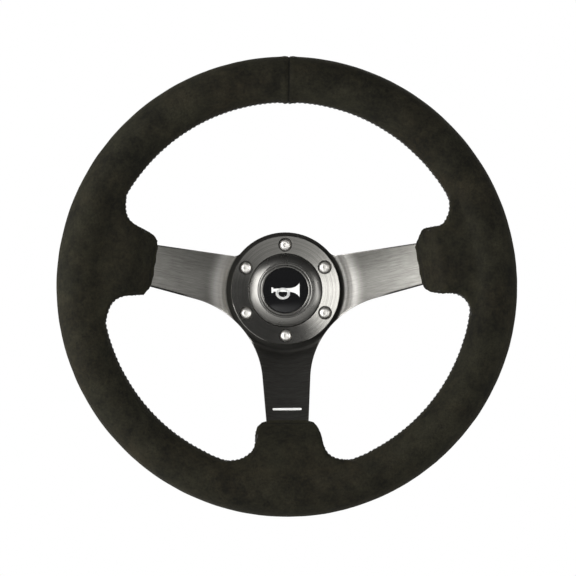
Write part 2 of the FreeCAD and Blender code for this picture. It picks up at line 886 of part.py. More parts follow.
def make_frame_outline():
    """The frame's plan as a tall prism: hub disc, three spokes, two deep webs, bores."""
    body = new_body("frame_outline")
    tall = rim_at + d.prism_margin
    hub = new_sketch(body, "hub_outline", "XY_Plane")
    add_circle(hub, 0, 0, d.plate_hub_radius)
    doc.recompute()
    pad(body, "hub_prism", hub, tall)
    end = rim_radius - rod_radius - d.plate_end_gap
    taper = (d.spoke_inner_half - d.spoke_outer_half) / (d.spoke_outer_at - d.spoke_inner_at)
    end_half = d.spoke_outer_half - taper * (end - d.spoke_outer_at)
    start_half = d.spoke_inner_half + taper * (d.spoke_inner_at - d.frame_start_at)
    for index, angle in enumerate(spoke_angles()):
        spoke = new_sketch(body, f"spoke_{index}_outline", "XY_Plane")
        add_spoke(spoke, angle, [(d.frame_start_at, start_half), (end, end_half)])
        doc.recompute()
        pad(body, f"spoke_{index}_prism", spoke, tall)
    half_gap = (d.spoke_up_angle + 90.0) / 2
    slant = Size(f"sqrt(1 + {taper.text}^2)", math.sqrt(1 + taper.value**2))
    foot = d.spoke_inner_half + taper * d.spoke_inner_at
    lean = (taper * trig("cos", half_gap) + trig("sin", half_gap)) / slant
    centre = (d.web_reach - foot / slant) / (1 - lean)
    radius = centre - d.web_reach
    touch_along = centre * trig("cos", half_gap) - radius * taper / slant
    touch_half = centre * trig("sin", half_gap) - radius / slant
    low = as_size(270.0)
    for index, side in enumerate((-1, 1)):
        spoke = spoke_angles()[index]
        web = new_sketch(body, f"web_{index}_outline", "XY_Plane")
        upper = turned(spoke, touch_along, touch_half * side)
        lower = turned(low, touch_along, touch_half * (0 - side))
        add_polygon(web, [(0, 0), upper, lower])
        doc.recompute()
        pad(body, f"web_{index}_prism", web, tall)
        hollow = new_sketch(body, f"hollow_{index}_outline", "XY_Plane")
        x, y = turned(spoke + half_gap * side, centre, as_size(0))
        add_circle(hollow, x, y, radius)
        doc.recompute()
        pocket(body, f"hollow_{index}", hollow, tall, reverse=True)
    bore = new_sketch(body, "centre_bore_outline", "XY_Plane")
    add_circle(bore, 0, 0, d.plate_bore_radius)
    doc.recompute()
    pocket(body, "centre_bore", bore, tall, reverse=True)
    bolt = new_sketch(body, "frame_bolt_outline", "XY_Plane")
    add_circle(bolt, 0, d.bolt_circle_dia / 2, d.bolt_clear_dia / 2)
    doc.recompute()
    hole = pocket(body, "frame_bolt_hole", bolt, tall, reverse=True)
    around_axis(body, hole, d.bolt_count)
    round_shoulders(body)
    return body


def round_shoulders(body):
    """Rounds the two upright edges where the hub disc meets the upper spoke edges."""
    base = body.Tip
    names = []
    for index, edge in enumerate(base.Shape.Edges, start=1):
        if len(edge.Vertexes) != 2:
            continue
        low, high = (v.Point for v in edge.Vertexes)
        upright = abs(low.x - high.x) + abs(low.y - high.y) < 1e-4
        radius = math.hypot(low.x, low.y)
        if upright and abs(radius - d.plate_hub_radius.value) < 0.01 and low.y > 20:
            names.append(f"Edge{index}")
    if len(names) != 2:
        raise RuntimeError(f"expected 2 shoulder edges, found {len(names)}")
    feature = body.newObject("PartDesign::Fillet", "shoulders")
    feature.Base = (base, names)
    bind(feature, "Radius", d.shoulder_radius)
    doc.recompute()


def make_spoke_frame():
    """Pressed 4 mm plate: the round dish cut to the frame's plan."""
    half = d.plate_thick / 2
    end = rim_radius - rod_radius - d.plate_end_gap
    dish, step = dish_band("frame_dish", half, d.frame_start_at, end)
    inside = [
        (d.hub_bend_at - step, plate_mid + half),
        (rim_bend_at + step, rim_at - half),
    ]
    outside = [
        (d.hub_bend_at + step, plate_mid - half),
        (rim_bend_at - step, rim_at + half),
    ]
    round_rings(dish, "inside_bends", d.hub_bend_radius, inside)
    round_rings(dish, "outside_bends", d.rim_bend_radius, outside)
    outline = make_frame_outline()
    return boolean("Part::Common", "frame_plate", dish, outline)


def make_hoop():
    """Steel rod hoop that the plate is welded to."""
    body = new_body("hoop")
    sketch = new_sketch(body, "rod_section", "YZ_Plane")
    add_circle(sketch, rim_radius, rim_at, rod_radius)
    doc.recompute()
    turn(body, "rod_hoop", sketch)
    return body


def make_welds(plate, hoop):
    """A bead round each spoke's end, filling the gap to the hoop."""
    bead = new_body("bead_ring")
    start = rim_radius - rod_radius - d.bead_reach
    knee, end = start + d.bead_slant, start + d.bead_end
    outline = [
        (start, rim_at - d.bead_toe_half),
        (knee, rim_at - d.bead_half),
        (end, rim_at - d.bead_half),
        (end, rim_at + d.bead_half),
        (knee, rim_at + d.bead_half),
        (start, rim_at + d.bead_toe_half),
    ]
    revolve(bead, "bead_section", outline)
    plan = new_body("bead_plan")
    for index, angle in enumerate(spoke_angles()):
        sketch = new_sketch(plan, f"bead_{index}_plan", "XY_Plane", rim_at - d.bead_prism_half)
        half = d.spoke_outer_half - d.bead_side_gap
        add_spoke(sketch, angle, [(d.bead_from, half), (d.bead_to, half)])
        doc.recompute()
        pad(plan, f"bead_{index}_prism", sketch, d.bead_prism_half * 2)
    beads = boolean("Part::Common", "bead_blanks", bead, plan)
    fused = boolean("Part::MultiFuse", "plate_and_hoop", plate, hoop)
    return boolean("Part::Cut", "weld_beads", beads, fused)


# ---------------------------------------------------------------- grip, cover and thread
def sleeve_plan(label, inset):
    """Plan of the three sleeves as a prism, with the hollows that flare them into the rim."""
    body = new_body(label)
    base = rim_at - d.sleeve_below
    tall = d.sleeve_tall
    hollow = d.neck_hollow_radius + inset
    for index, angle in enumerate(spoke_angles()):
        outline = new_sketch(body, f"{label}_{index}", "XY_Plane", base)
        stations = [
            (d.grip_end_at - d.grip_lead, d.grip_end_half - inset),
            (d.grip_end_at, d.grip_end_half - inset),
            (d.grip_corner_at, d.grip_corner_half - inset),
            (d.grip_wide_at, d.grip_wide_half - inset),
            (d.grip_neck_at, d.grip_neck_half - inset),
            (d.grip_neck_at, d.neck_hollow_half),
            (d.grip_root_at, d.grip_root_half),
        ]
        add_spoke(outline, angle, stations)
        doc.recompute()
        pad(body, f"{label}_{index}_prism", outline, tall)
        for side in (1, -1):
            cut = new_sketch(body, f"{label}_{index}_{'left' if side > 0 else 'right'}", "XY_Plane", base)
            x, y = turned(angle, d.grip_neck_at, d.neck_hollow_half * side)
            add_circle(cut, x, y, hollow)
            doc.recompute()
            pocket(body, f"{label}_{index}_hollow_{'a' if side > 0 else 'b'}", cut, tall, reverse=True)
    return body


def sleeve_band(label, half_thick, start):
    """The sleeves' section along a spoke, square to the plate at its inner end."""
    sine, cosine = trig("sin", d.dish_slope), trig("cos", d.dish_slope)
    step = half_thick * slope_half_tan
    end = rim_radius - d.sleeve_root_gap
    mid = plate_mid + (start - d.hub_bend_at) * slope_tan
    outline = [
        (start + half_thick * sine, mid - half_thick * cosine),
        (rim_bend_at + step, rim_at - half_thick),
        (end, rim_at - half_thick),
        (end, rim_at + half_thick),
        (rim_bend_at - step, rim_at + half_thick),
        (start - half_thick * sine, mid + half_thick * cosine),
    ]
    body = new_body(label)
    revolve(body, label + "_section", outline, role="YZ_Plane")
    round_rings(body, label + "_bend", d.rim_bend_radius, [(rim_bend_at - step, rim_at + half_thick)])
    return body


def oval_hoop(label, inset):
    """The rim's oval section turned about the axis."""
    body = new_body(label)
    sketch = new_sketch(body, label + "_section", "YZ_Plane")
    across, deep = d.rim_width / 2 - inset, d.rim_depth / 2 - inset
    centre = Vector(rim_radius.value, rim_at.value, 0)
    side = centre + Vector(across.value, 0, 0)
    top = centre + Vector(0, deep.value, 0)
    geo = sketch.addGeometry(Part.Ellipse(side, top, centre))
    pin_point(sketch, geo, 3, rim_radius, rim_at)
    sketch.exposeInternalGeometry(geo)
    sketch.addConstraint(Sketcher.Constraint("Horizontal", geo + 1))
    for line, length in ((geo + 1, across * 2), (geo + 2, deep * 2)):
        index = sketch.addConstraint(Sketcher.Constraint("Distance", line, length.value))
        bind(sketch, f"Constraints[{index}]", length)
    doc.recompute()
    turn(body, label + "_hoop", sketch)
    return body


def grip_form(label, inset, start):
    """Rim and sleeves as one form, inset from the outside of the cover."""
    hoop = oval_hoop(label + "_oval", inset)
    band = sleeve_band(label + "_band", d.grip_thick / 2 - inset, start)
    plan = sleeve_plan(label + "_plan", inset)
    sleeves = boolean("Part::Common", label + "_sleeves", band, plan)
    return boolean("Part::MultiFuse", label, hoop, sleeves)


def make_thread():
    """Seam thread along the rim's inner edge, one run in each window between the spokes."""
    runs = []
    angles = spoke_angles()
    windows = [(angles[0], angles[1]), (angles[1], angles[2]), (angles[2], angles[0] + 360.0)]
    for index, (start, end) in enumerate(windows):
        run = doc.addObject("Part::Torus", f"thread_run_{index}")
        bind(run, "Radius1", rim_radius - d.rim_width / 2 - d.stitch_radius - d.thread_gap)
        bind(run, "Radius2", d.stitch_radius)
        bind(run, "Angle3", end - start - d.thread_margin * 2)
        bind(run, "Placement.Base.z", rim_at)
        bind(run, "Placement.Rotation.Angle", start + d.thread_margin)
        runs.append(run)
    doc.recompute()
    return runs


def make_rim():
    """Plate, hoop, welds, foam, suede and thread, which share faces."""
    plate = make_spoke_frame()
    hoop = make_hoop()
    welds = make_welds(plate, hoop)
    thread = make_thread()
    start = d.grip_end_at + d.grip_thick / 2 * trig("cos", d.dish_slope)
    outside = grip_form("cover_form", as_size(0), start)
    inside = grip_form("foam_form", d.skin, start + d.foam_setback)
    metal = boolean("Part::MultiFuse", "metal_in_grip", plate, hoop, welds)
    foam = boolean("Part::Cut", "foam_cut", inside, metal)
    hollow = boolean("Part::MultiFuse", "cover_hollow", inside, plate)
    cover = boolean("Part::Cut", "cover_cut", outside, hollow)
    group("spoke_frame", plate)
    group("rim_ring", hoop)
    group("spoke_welds", welds)
    group("grip_foam", foam)
    group("suede_cover", cover)
    group("cover_stitching", *thread)


# ---------------------------------------------------------------- horn ring and button
ring_base = plate_front
lip_under = ring_base + d.ring_recess_deep


def make_horn_ring():
    """Turned ring that clamps the horn housing, with six counterbored screw holes."""
    body = new_body("horn_ring")
    edge, inner = ring_base + d.ring_outer_high, ring_base + d.ring_inner_high
    outline = [
        (d.ring_recess_radius, ring_base),
        (d.ring_radius, ring_base),
        (d.ring_radius, edge - d.ring_edge_break),
        (d.ring_radius - d.ring_edge_break, edge),
        (d.ring_hole_radius + d.ring_hole_slant, inner),
        (d.ring_hole_radius, inner - d.ring_hole_drop),
        (d.ring_hole_radius, lip_under),
        (d.ring_recess_radius, lip_under),
    ]
    revolve(body, "ring_turning", outline)
    for name, diameter, floor in (
        ("ring_counterbore", d.counterbore_dia, d.bolt_seat_at),
        ("ring_bolt_hole", d.bolt_clear_dia, ring_base),
    ):
        sketch = new_sketch(body, name + "_outline", "XY_Plane", floor)
        add_circle(sketch, 0, d.bolt_circle_dia / 2, diameter / 2)
        doc.recompute()
        hole = pocket(body, name, sketch, d.ring_hole_reach, reverse=True)
        around_axis(body, hole, d.bolt_count)
    return stand_up(body)


def make_ring_screws():
    """Six button-head socket screws that hold ring, housing and plate to the coupler."""
    screw = new_body("button_head_screw")
    shank = d.bolt_shank_dia / 2
    head = d.bolt_head_dia / 2
    tip = 0 - d.bolt_length
    outline = [
        (0, tip),
        (shank - d.bolt_point, tip),
        (shank, tip + d.bolt_point),
        (shank, 0),
        (head, 0),
        (head, d.bolt_head_side, d.bolt_head_dome),
        (d.bolt_head_flat, d.bolt_head_high),
        (0, d.bolt_head_high),
    ]
    revolve(screw, "screw_turning", outline)
    hexagon = new_sketch(screw, "socket_outline", "XY_Plane", d.bolt_head_high)
    corner = d.bolt_socket_across / trig("cos", 30.0) / 2
    corners = [(corner * trig("cos", 60.0 * k), corner * trig("sin", 60.0 * k)) for k in range(6)]
    add_polygon(hexagon, corners)
    doc.recompute()
    pocket(screw, "socket", hexagon, d.bolt_socket_deep)
    screws = []
    for index in range(int(d.bolt_count.value)):
        copy = doc.addObject("Part::Compound", f"screw_{index + 1}")
        copy.Links = [screw]
        place = bolt_place(index) + Vector(0, 0, d.bolt_seat_at.value)
        copy.Placement = Placement(place, Rotation(Vector(0, 0, 1), 60 * index))
        screws.append(copy)
    doc.recompute()
    return group("ring_screws", *screws)


def make_button_gasket():
    """Rubber ring that seals and centres the button's lip."""
    body = new_body("button_gasket")
    inner, outer = d.button_lip_radius + d.lip_play, d.ring_recess_radius - d.recess_play
    low = ring_base + d.housing_flange_thick
    revolve(body, "gasket", [(inner, low), (outer, low), (outer, lip_under), (inner, lip_under)])
    return stand_up(body)


cup_floor_top = d.cup_floor_at + d.cup_floor_thick


def make_horn_housing():
    """Moulded cup under the button; its flange is clamped between ring and plate."""
    body = new_body("horn_housing")
    inner = d.cup_radius - d.cup_wall
    flange = d.ring_recess_radius - d.recess_play
    flange_top = ring_base + d.housing_flange_thick
    outline = [
        (0, d.cup_floor_at),
        (d.cup_radius, d.cup_floor_at),
        (d.cup_radius, ring_base),
        (flange, ring_base),
        (flange, flange_top),
        (inner, flange_top),
        (inner, cup_floor_top),
        (0, cup_floor_top),
    ]
    revolve(body, "cup", outline)
    slots = new_sketch(body, "blade_slots_outline", "XY_Plane", cup_floor_top)
    for x in (d.live_blade_at, 0 - d.earth_blade_at - d.blade_thick):
        add_rectangle(slots, x, 0 - d.blade_wide / 2, d.blade_thick, d.blade_wide)
    doc.recompute()
    pocket(body, "blade_slots", slots, d.cup_floor_thick + d.slot_overrun)
    return stand_up(body)


def add_rectangle(sketch, x, y, wide, high):
    x, y = as_size(x), as_size(y)
    add_polygon(sketch, [(x, y), (x + wide, y), (x + wide, y + high), (x, y + high)])


def make_fixed_contact():
    """Brass disc in the floor of the housing."""
    body = new_body("fixed_contact")
    top = cup_floor_top + d.fixed_contact_thick
    outline = [(0, cup_floor_top), (d.live_blade_at, cup_floor_top), (d.live_blade_at, top), (0, top)]
    revolve(body, "contact_disc", outline)
    return stand_up(body)


def make_terminals():
    """Blade of the fixed contact, and the spring's washer with its own blade."""
    live = new_body("live_blade")
    sketch = new_sketch(live, "live_outline", "XY_Plane", d.blade_low_at)
    add_rectangle(sketch, d.live_blade_at, 0 - d.blade_wide / 2, d.blade_thick, d.blade_wide)
    doc.recompute()
    pad(live, "live_prism", sketch, cup_floor_top + d.fixed_contact_thick - d.blade_low_at)
    earth = new_body("earth_blade")
    inner, outer = d.horn_spring_radius - d.washer_half, d.horn_spring_radius + d.washer_half
    low, high = cup_floor_top, cup_floor_top + d.washer_thick
    washer = [(inner, low), (outer, low), (outer, high), (inner, high)]
    revolve(earth, "spring_washer", washer)
    foot = new_sketch(earth, "foot_outline", "XY_Plane", cup_floor_top)
    reach = d.horn_spring_radius - d.earth_blade_at
    left = 0 - d.horn_spring_radius
    add_rectangle(foot, left, 0 - d.blade_wide / 2, reach, d.blade_wide)
    doc.recompute()
    pad(earth, "foot", foot, d.washer_thick)
    blade = new_sketch(earth, "earth_outline", "XY_Plane", d.blade_low_at)
    start = 0 - d.earth_blade_at - d.blade_thick
    add_rectangle(blade, start, 0 - d.blade_wide / 2, d.blade_thick, d.blade_wide)
    doc.recompute()
    pad(earth, "earth_prism", blade, high - d.blade_low_at)
    return group("horn_terminals", live, earth)


def make_horn_lead():
    """Short insulated lead from the plunger's terminal to the fixed contact's blade."""
    body = new_body("horn_lead")
    level = d.contact_well_at + d.lead_lift + d.lead_radius
    path = new_sketch(body, "lead_route", "XY_Plane", level)
    bend = d.lead_bend_radius
    drop = bend * (1 - math.cos(math.radians(45))) * 2
    shift = bend * math.sin(math.radians(45))
    x0, x1 = 0 - d.lead_start, d.live_blade_at - d.lead_end_gap - shift * 2
    places = [(x0, 0 - drop), (x1, 0 - drop), (x1 + shift, 0 - drop / 2)]
    places += [(x1 + shift * 2, as_size(0)), (d.live_blade_at, as_size(0))]
    at = [Vector(as_size(x).value, as_size(y).value, 0) for x, y in places]
    path.addGeometry(Part.LineSegment(at[0], at[1]))
    path.addGeometry(arc_between(at[1], at[2], bend.value))
    path.addGeometry(arc_between(at[2], at[3], -bend.value))
    path.addGeometry(Part.LineSegment(at[3], at[4]))
    doc.recompute()
    section = new_sketch(body, "lead_section", "YZ_Plane", x0)
    add_circle(section, 0 - drop, level, d.lead_radius)
    doc.recompute()
    pipe = body.newObject("PartDesign::AdditivePipe", "lead_tube")
    pipe.Profile = section
    pipe.Spine = (path, ["Edge1", "Edge2", "Edge3", "Edge4"])
    doc.recompute()
    length = sum(edge.Length for edge in path.Shape.Edges)
    section_area = math.pi * d.lead_radius.value**2
    ratio = body.Shape.Volume / (section_area * length)
    print(f"horn lead {length:.1f} mm long, bends of {bend.value} mm, volume ratio {ratio:.3f}")
    return stand_up(body)


def make_horn_button():
    """Turned bezel with two beads round the badge, the badge under its dome, and the contact."""
    body = new_body("horn_bezel")
    lip_low, lip_high = ring_base + d.lip_low_high, ring_base + d.lip_top_high
    ceiling = ring_base + d.ceiling_high
    boss_low = cup_floor_top + d.boss_gap
    skirt_inner = d.skirt_radius - d.skirt_wall
    skirt_low = ring_base - d.skirt_drop
    top = d.button_top_at
    floor = top - d.badge_deep
    bead, groove = top - d.bead_drop, top - d.bead_groove_deep
    draft = d.bead_groove_draft
    outline = [
        (0, boss_low),
        (d.boss_radius, boss_low),
        (d.boss_radius, ceiling),
        (skirt_inner, ceiling),
        (skirt_inner, skirt_low),
        (d.skirt_radius, skirt_low),
        (d.skirt_radius, lip_low),
        (d.button_lip_radius, lip_low),
        (d.button_lip_radius, lip_high),
        (d.button_radius, lip_high),
        (d.button_radius, ring_base + d.button_edge_high, d.button_crown_radius),
        (d.button_shoulder_radius, top),
        (d.button_shoulder_radius - draft, groove),
        (d.outer_bead_radius + draft, groove),
        (d.outer_bead_radius, bead, d.outer_bead_round),
        (d.outer_bead_inner_radius, bead),
        (d.outer_bead_inner_radius - draft, groove),
        (d.inner_bead_radius + draft, groove),
        (d.inner_bead_radius, bead, d.inner_bead_round),
        (d.inner_bead_inner_radius, bead),
        (d.badge_radius, groove),
        (d.badge_radius, floor),
        (0, floor),
    ]
    revolve(body, "bezel_turning", outline)
    plate = new_body("badge_plate")
    edge, seat = d.badge_radius - d.badge_play, floor + d.badge_thick
    revolve(plate, "badge_disc", [(0, floor), (edge, floor), (edge, seat), (0, seat)])
    lens = new_body("badge_lens")
    rise, shoulder = d.lens_rise, seat + d.lens_side
    sphere = (edge * edge + rise * rise) / (rise * 2)
    outline = [(0, seat), (edge, seat), (edge, shoulder, sphere), (0, shoulder + rise)]
    revolve(lens, "dome", outline)
    contact = new_body("moving_contact")
    low, disc = boss_low - d.moving_contact_thick, d.moving_contact_radius
    revolve(contact, "contact_plate", [(0, low), (disc, low), (disc, boss_low), (0, boss_low)])
    for piece in (body, plate, lens, contact):
        stand_up(piece)
    foot, head = cup_floor_top + d.washer_thick + d.spring_play, ceiling - d.spring_play
    wire, turns = d.horn_spring_wire, d.horn_spring_turns
    stand_up(coil("horn_spring", d.horn_spring_radius, wire, foot, head, turns))


# ---------------------------------------------------------------- build, check and write
def check_all():
    """Stops before anything is written if an object failed or a sub-part is not a valid solid."""
    for thing in doc.Objects:
        if {"Invalid", "Error"} & set(thing.State):
            raise RuntimeError(f"{thing.Label} failed: {thing.State}")
    for thing in nodes:
        shape = thing.Shape
        if shape.isNull() or not shape.isValid() or not shape.Solids:
            raise RuntimeError(f"{thing.Label} has no valid solid")


def write_all():
    os.makedirs(OUT, exist_ok=True)
    for thing in nodes:
        thing.Shape.exportStep(os.path.join(OUT, thing.Label + ".step"))
        box = thing.Shape.BoundBox
        size = f"{box.XLength:.1f} x {box.YLength:.1f} x {box.ZLength:.1f}"
        print(f"{thing.Label}: {len(thing.Shape.Solids)} solid(s), {size} mm")


def main():
    make_base_hub()
    make_base_insulator()
    make_base_contact()
    make_coupler_body()
    make_lock_collar()
    make_collar_keepers()
    make_balls()
    make_contact_set()
    make_rim()
    make_horn_ring()
    make_ring_screws()
    make_button_gasket()
    make_horn_housing()
    make_fixed_contact()
    make_terminals()
    make_horn_lead()
    make_horn_button()
    doc.recompute()
    check_all()
    write_all()


main()
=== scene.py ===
import math

import bpy
from mathutils import Matrix, Vector, noise
from mathutils.bvhtree import BVHTree
from mathutils.kdtree import KDTree


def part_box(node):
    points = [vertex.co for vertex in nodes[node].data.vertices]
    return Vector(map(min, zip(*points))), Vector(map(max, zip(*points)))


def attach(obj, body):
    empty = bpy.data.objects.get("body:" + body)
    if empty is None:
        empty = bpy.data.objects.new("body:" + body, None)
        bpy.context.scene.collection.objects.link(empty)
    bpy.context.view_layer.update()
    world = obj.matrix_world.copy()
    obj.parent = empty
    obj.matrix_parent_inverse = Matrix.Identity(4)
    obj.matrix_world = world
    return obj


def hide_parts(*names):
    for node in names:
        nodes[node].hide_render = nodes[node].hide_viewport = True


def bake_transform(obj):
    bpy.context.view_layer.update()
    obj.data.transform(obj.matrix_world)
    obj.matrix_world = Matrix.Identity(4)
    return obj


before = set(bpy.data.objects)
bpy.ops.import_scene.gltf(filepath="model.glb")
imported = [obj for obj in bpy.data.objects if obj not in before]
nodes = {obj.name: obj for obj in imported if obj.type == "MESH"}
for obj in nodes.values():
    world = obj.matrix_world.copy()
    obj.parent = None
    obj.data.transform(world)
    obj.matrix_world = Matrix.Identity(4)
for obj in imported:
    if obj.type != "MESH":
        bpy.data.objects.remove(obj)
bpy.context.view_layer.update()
print("frame loaded with", len(nodes), "nodes")


# ---- places read from the frame, in metres; the steering axis is the Y axis

coverLow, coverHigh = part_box("suede_cover")
hoopLow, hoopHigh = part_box("rim_ring")
plateLow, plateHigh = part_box("spoke_frame")
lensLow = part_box("badge_lens")[0]

wheelRadius = coverHigh.x
rimRadius = hoopHigh.x - (hoopHigh.y - hoopLow.y) / 2  # middle of the rim's section
rimY = (hoopLow.y + hoopHigh.y) / 2
rimHalfWidth = wheelRadius - rimRadius
rimHalfDepth = rimY - coverLow.y
plateHalf = 0.002
plateHubY = plateHigh.y - plateHalf  # middle of the plate where it is flat under the ring
dishStart = 0.047  # radius of the bend round the hub
spokeAngles = (9.6, 170.4, 270.0)  # degrees from +X, towards +Z


# ---- modelling helpers

def deselectAll():
    if bpy.context.mode != "OBJECT":
        bpy.ops.object.mode_set(mode="OBJECT")
    bpy.ops.object.select_all(action="DESELECT")


def pick(*pieces):
    deselectAll()
    for piece in pieces:
        piece.select_set(True)
    bpy.context.view_layer.objects.active = pieces[0]


def newPiece(name):
    piece = bpy.context.active_object
    piece.name = piece.data.name = name
    return piece


def settle(piece):  # puts the place, turn and scale into the mesh
    pick(piece)
    bpy.ops.object.transform_apply(location=True, rotation=True, scale=True)


def editAll(piece):
    pick(piece)
    bpy.ops.object.mode_set(mode="EDIT")
    bpy.ops.mesh.select_all(action="SELECT")


def pickFaces(piece, wanted):  # leaves edit mode on, with the faces that wanted(face) likes
    editAll(piece)
    bpy.ops.mesh.select_mode(type="FACE")
    bpy.ops.mesh.select_all(action="DESELECT")
    bpy.ops.object.mode_set(mode="OBJECT")
    for face in piece.data.polygons:
        face.select = wanted(face)
    bpy.ops.object.mode_set(mode="EDIT")


def useModifier(piece, kind, **settings):
    pick(piece)
    modifier = piece.modifiers.new(kind.lower(), kind)
    for name, value in settings.items():
        setattr(modifier, name, value)
    bpy.ops.object.modifier_apply(modifier=modifier.name)


def joined(first, *others):
    pick(first, *others)
    bpy.ops.object.join()
    return first


def smooth(piece, degrees=40):
    pick(piece)
    bpy.ops.object.shade_smooth_by_angle(angle=math.radians(degrees))


def onSpoke(angle, along, across, y):  # a point given along and across a spoke
    a = math.radians(angle)
    x = along * math.cos(a) - across * math.sin(a)
    z = along * math.sin(a) + across * math.cos(a)
    return Vector((x, y, z))


# ---- shader helpers

class Reading:  # a socket that sums can be written with
    def __init__(self, finish, socket):
        self.finish = finish
        self.socket = socket

    def worked(self, operation, first, second):
        return self.finish.add("ShaderNodeMath", {"operation": operation}, {0: first, 1: second})

    def __add__(self, other):
        return self.worked("ADD", self, other)

    def __radd__(self, other):
        return self.worked("ADD", other, self)

    def __sub__(self, other):
        return self.worked("SUBTRACT", self, other)

    def __rsub__(self, other):
        return self.worked("SUBTRACT", other, self)

    def __mul__(self, other):
        return self.worked("MULTIPLY", self, other)

    def __rmul__(self, other):
        return self.worked("MULTIPLY", other, self)

    def __pow__(self, other):
        return self.worked("POWER", self, other)


class Finish:
    def __init__(self, name, **fixed):
        self.material = bpy.data.materials.new(name)
        self.material.use_nodes = True
        self.tree = self.material.node_tree
        self.shader = self.tree.nodes["Principled BSDF"]
        for socket, value in fixed.items():
            self.shader.inputs[socket.replace("_", " ")].default_value = value

    def add(self, kind, settings=None, inputs=None, output=0):
        node = self.tree.nodes.new(kind)
        for name, value in (settings or {}).items():
            setattr(node, name, value)
        for place, value in (inputs or {}).items():
            if isinstance(value, Reading):
                self.tree.links.new(value.socket, node.inputs[place])
            else:
                node.inputs[place].default_value = value
        return Reading(self, node.outputs[output])

    def place(self, scale=(1, 1, 1), turn=(0, 0, 0)):  # object coordinates, in metres
        spot = self.add("ShaderNodeTexCoord", output="Object")
        return self.add("ShaderNodeMapping", {}, {"Vector": spot, "Scale": scale, "Rotation": turn})

    def axes(self, vector=None):
        vector = vector or self.place()
        return [self.add("ShaderNodeSeparateXYZ", {}, {0: vector}, k) for k in range(3)]

    def size(self, number):  # how far the number is from zero
        return self.add("ShaderNodeMath", {"operation": "ABSOLUTE"}, {0: number})

    def clip(self, number, low, high):  # 0 at low, 1 at high
        return self.add("ShaderNodeMapRange", {}, {0: number, 1: low, 2: high})

    def vector(self, x, y, z):
        return self.add("ShaderNodeCombineXYZ", {}, {0: x, 1: y, 2: z})

    def fromAxis(self):  # distance from the steering axis
        x, y, z = self.axes()
        return (x * x + z * z) ** 0.5

    def grain(self, scale, detail=2.0, rough=0.5, where=None):
        where = where or self.place()
        inputs = {"Vector": where, "Scale": scale, "Detail": detail, "Roughness": rough}
        return self.add("ShaderNodeTexNoise", {}, inputs)

    def lines(self, along, scale, detail=3.0):  # noise on one number, as a tool leaves it
        inputs = {"W": along, "Scale": scale, "Detail": detail}
        return self.add("ShaderNodeTexNoise", {"noise_dimensions": "1D"}, inputs)

    def blendColours(self, share, first, second):
        def colour(value):
            return value if isinstance(value, Reading) else (*value, 1)
        inputs = {0: share, 6: colour(first), 7: colour(second)}
        return self.add("ShaderNodeMix", {"data_type": "RGBA"}, inputs, 2)

    def feed(self, **readings):
        for socket, reading in readings.items():
            self.tree.links.new(reading.socket, self.shader.inputs[socket.replace("_", " ")])

    def bumps(self, *heights, start=None):  # (height, strength, distance) laid one over the other
        normal = start
        for height, strength, distance in heights:
            inputs = {"Height": height, "Strength": strength, "Distance": distance}
            if normal:
                inputs["Normal"] = normal
            normal = self.add("ShaderNodeBump", {}, inputs)
        self.feed(Normal=normal)


def give(finish, *pieces):
    for piece in pieces:
        piece.data.materials.clear()
        piece.data.materials.append(finish.material)


# ---- finishes

suede = {
    "dark": (0.0032, 0.0031, 0.0016),
    "brushed": (0.0140, 0.0134, 0.0074),
    "warm": (0.0160, 0.0132, 0.0068),
    # lighter suede for the front crest: partly real wear, partly a painted highlight
    "wornAndLit": (0.033, 0.031, 0.021),
}


def suedeFinish():
    f = Finish("black_suede", Sheen_Weight=0.06, Sheen_Roughness=0.5, Sheen_Tint=(0.5, 0.47, 0.38, 1))
    f.shader.inputs["Specular IOR Level"].default_value = 0.1
    x, y, z = f.axes()
    nap = f.grain(38, 4, 0.62)  # hand-sized patches where the nap lies another way
    strokes = f.grain(150, 3, 0.6, f.place((1.0, 2.2, 1.0), (0.3, 0.2, 0.7)))
    fibres = f.grain(2600, 3, 0.7)
    speck = f.grain(900, 2, 0.5)
    pile = f.grain(520, 3, 0.65)
    brushed = f.clip(nap * 0.36 + strokes * 0.30 + pile * 0.34, 0.40, 0.62)
    warm = f.grain(21, 3, 0.6, f.place((1, 1, 1), (0.9, 0.1, 0.4)))
    brown = f.blendColours(f.clip(warm, 0.44, 0.68), suede["brushed"], suede["warm"])
    colour = f.blendColours(brushed, suede["dark"], brown)
    # the front crest is painted lighter: partly real wear, partly a painted highlight where the light falls
    # on it
    crest = f.clip(rimY - y, rimHalfDepth * 0.35, rimHalfDepth * 1.05)
    wornAndLit = crest * f.clip(speck, 0.3, 0.75) * f.clip(nap, 0.4, 0.7) * 0.5
    colour = f.blendColours(wornAndLit, colour, suede["wornAndLit"])
    colour = f.blendColours(f.clip(fibres, 0.35, 0.8) * 0.35, colour, (0.004, 0.0035, 0.003))
    seam = f.add("ShaderNodeAttribute", {"attribute_name": "seamShade"}, {}, "Fac")
    colour = f.blendColours(seam * 0.8, colour, (0.002, 0.002, 0.002))
    f.feed(Base_Color=colour, Roughness=f.clip(nap, 0.0, 1.0) * 0.12 + 0.82)
    f.bumps((strokes, 0.25, 0.0006), (speck, 0.35, 0.0003), (fibres, 0.5, 0.00012))
    return f


def threadFinish():
    f = Finish("waxed_thread", Sheen_Weight=0.3)
    twist = f.add("ShaderNodeTexWave", {"bands_direction": "DIAGONAL"}, {"Vector": f.place(), "Scale": 900.0})
    f.feed(Base_Color=f.blendColours(twist, (0.006, 0.0058, 0.0050), (0.016, 0.015, 0.013)))
    f.feed(Roughness=twist * 0.15 + 0.5)
    f.bumps((twist, 0.4, 0.0001))
    return f


plateEdge = {  # half width of a side spoke at a distance from the axis, and how fast it narrows
    "half": 0.0194,
    "at": 0.050,
    "taper": 0.064,
    "lineStart": 0.0014,  # where the painted dark edge line, a painted shade, begins and ends, in from the edge
    "lineEnd": 0.0005,
    "from": 0.070,  # the line fades in between these two places out from the axis
    "full": 0.080,
    "broken": 0.0013,  # radius of the broken edge
}


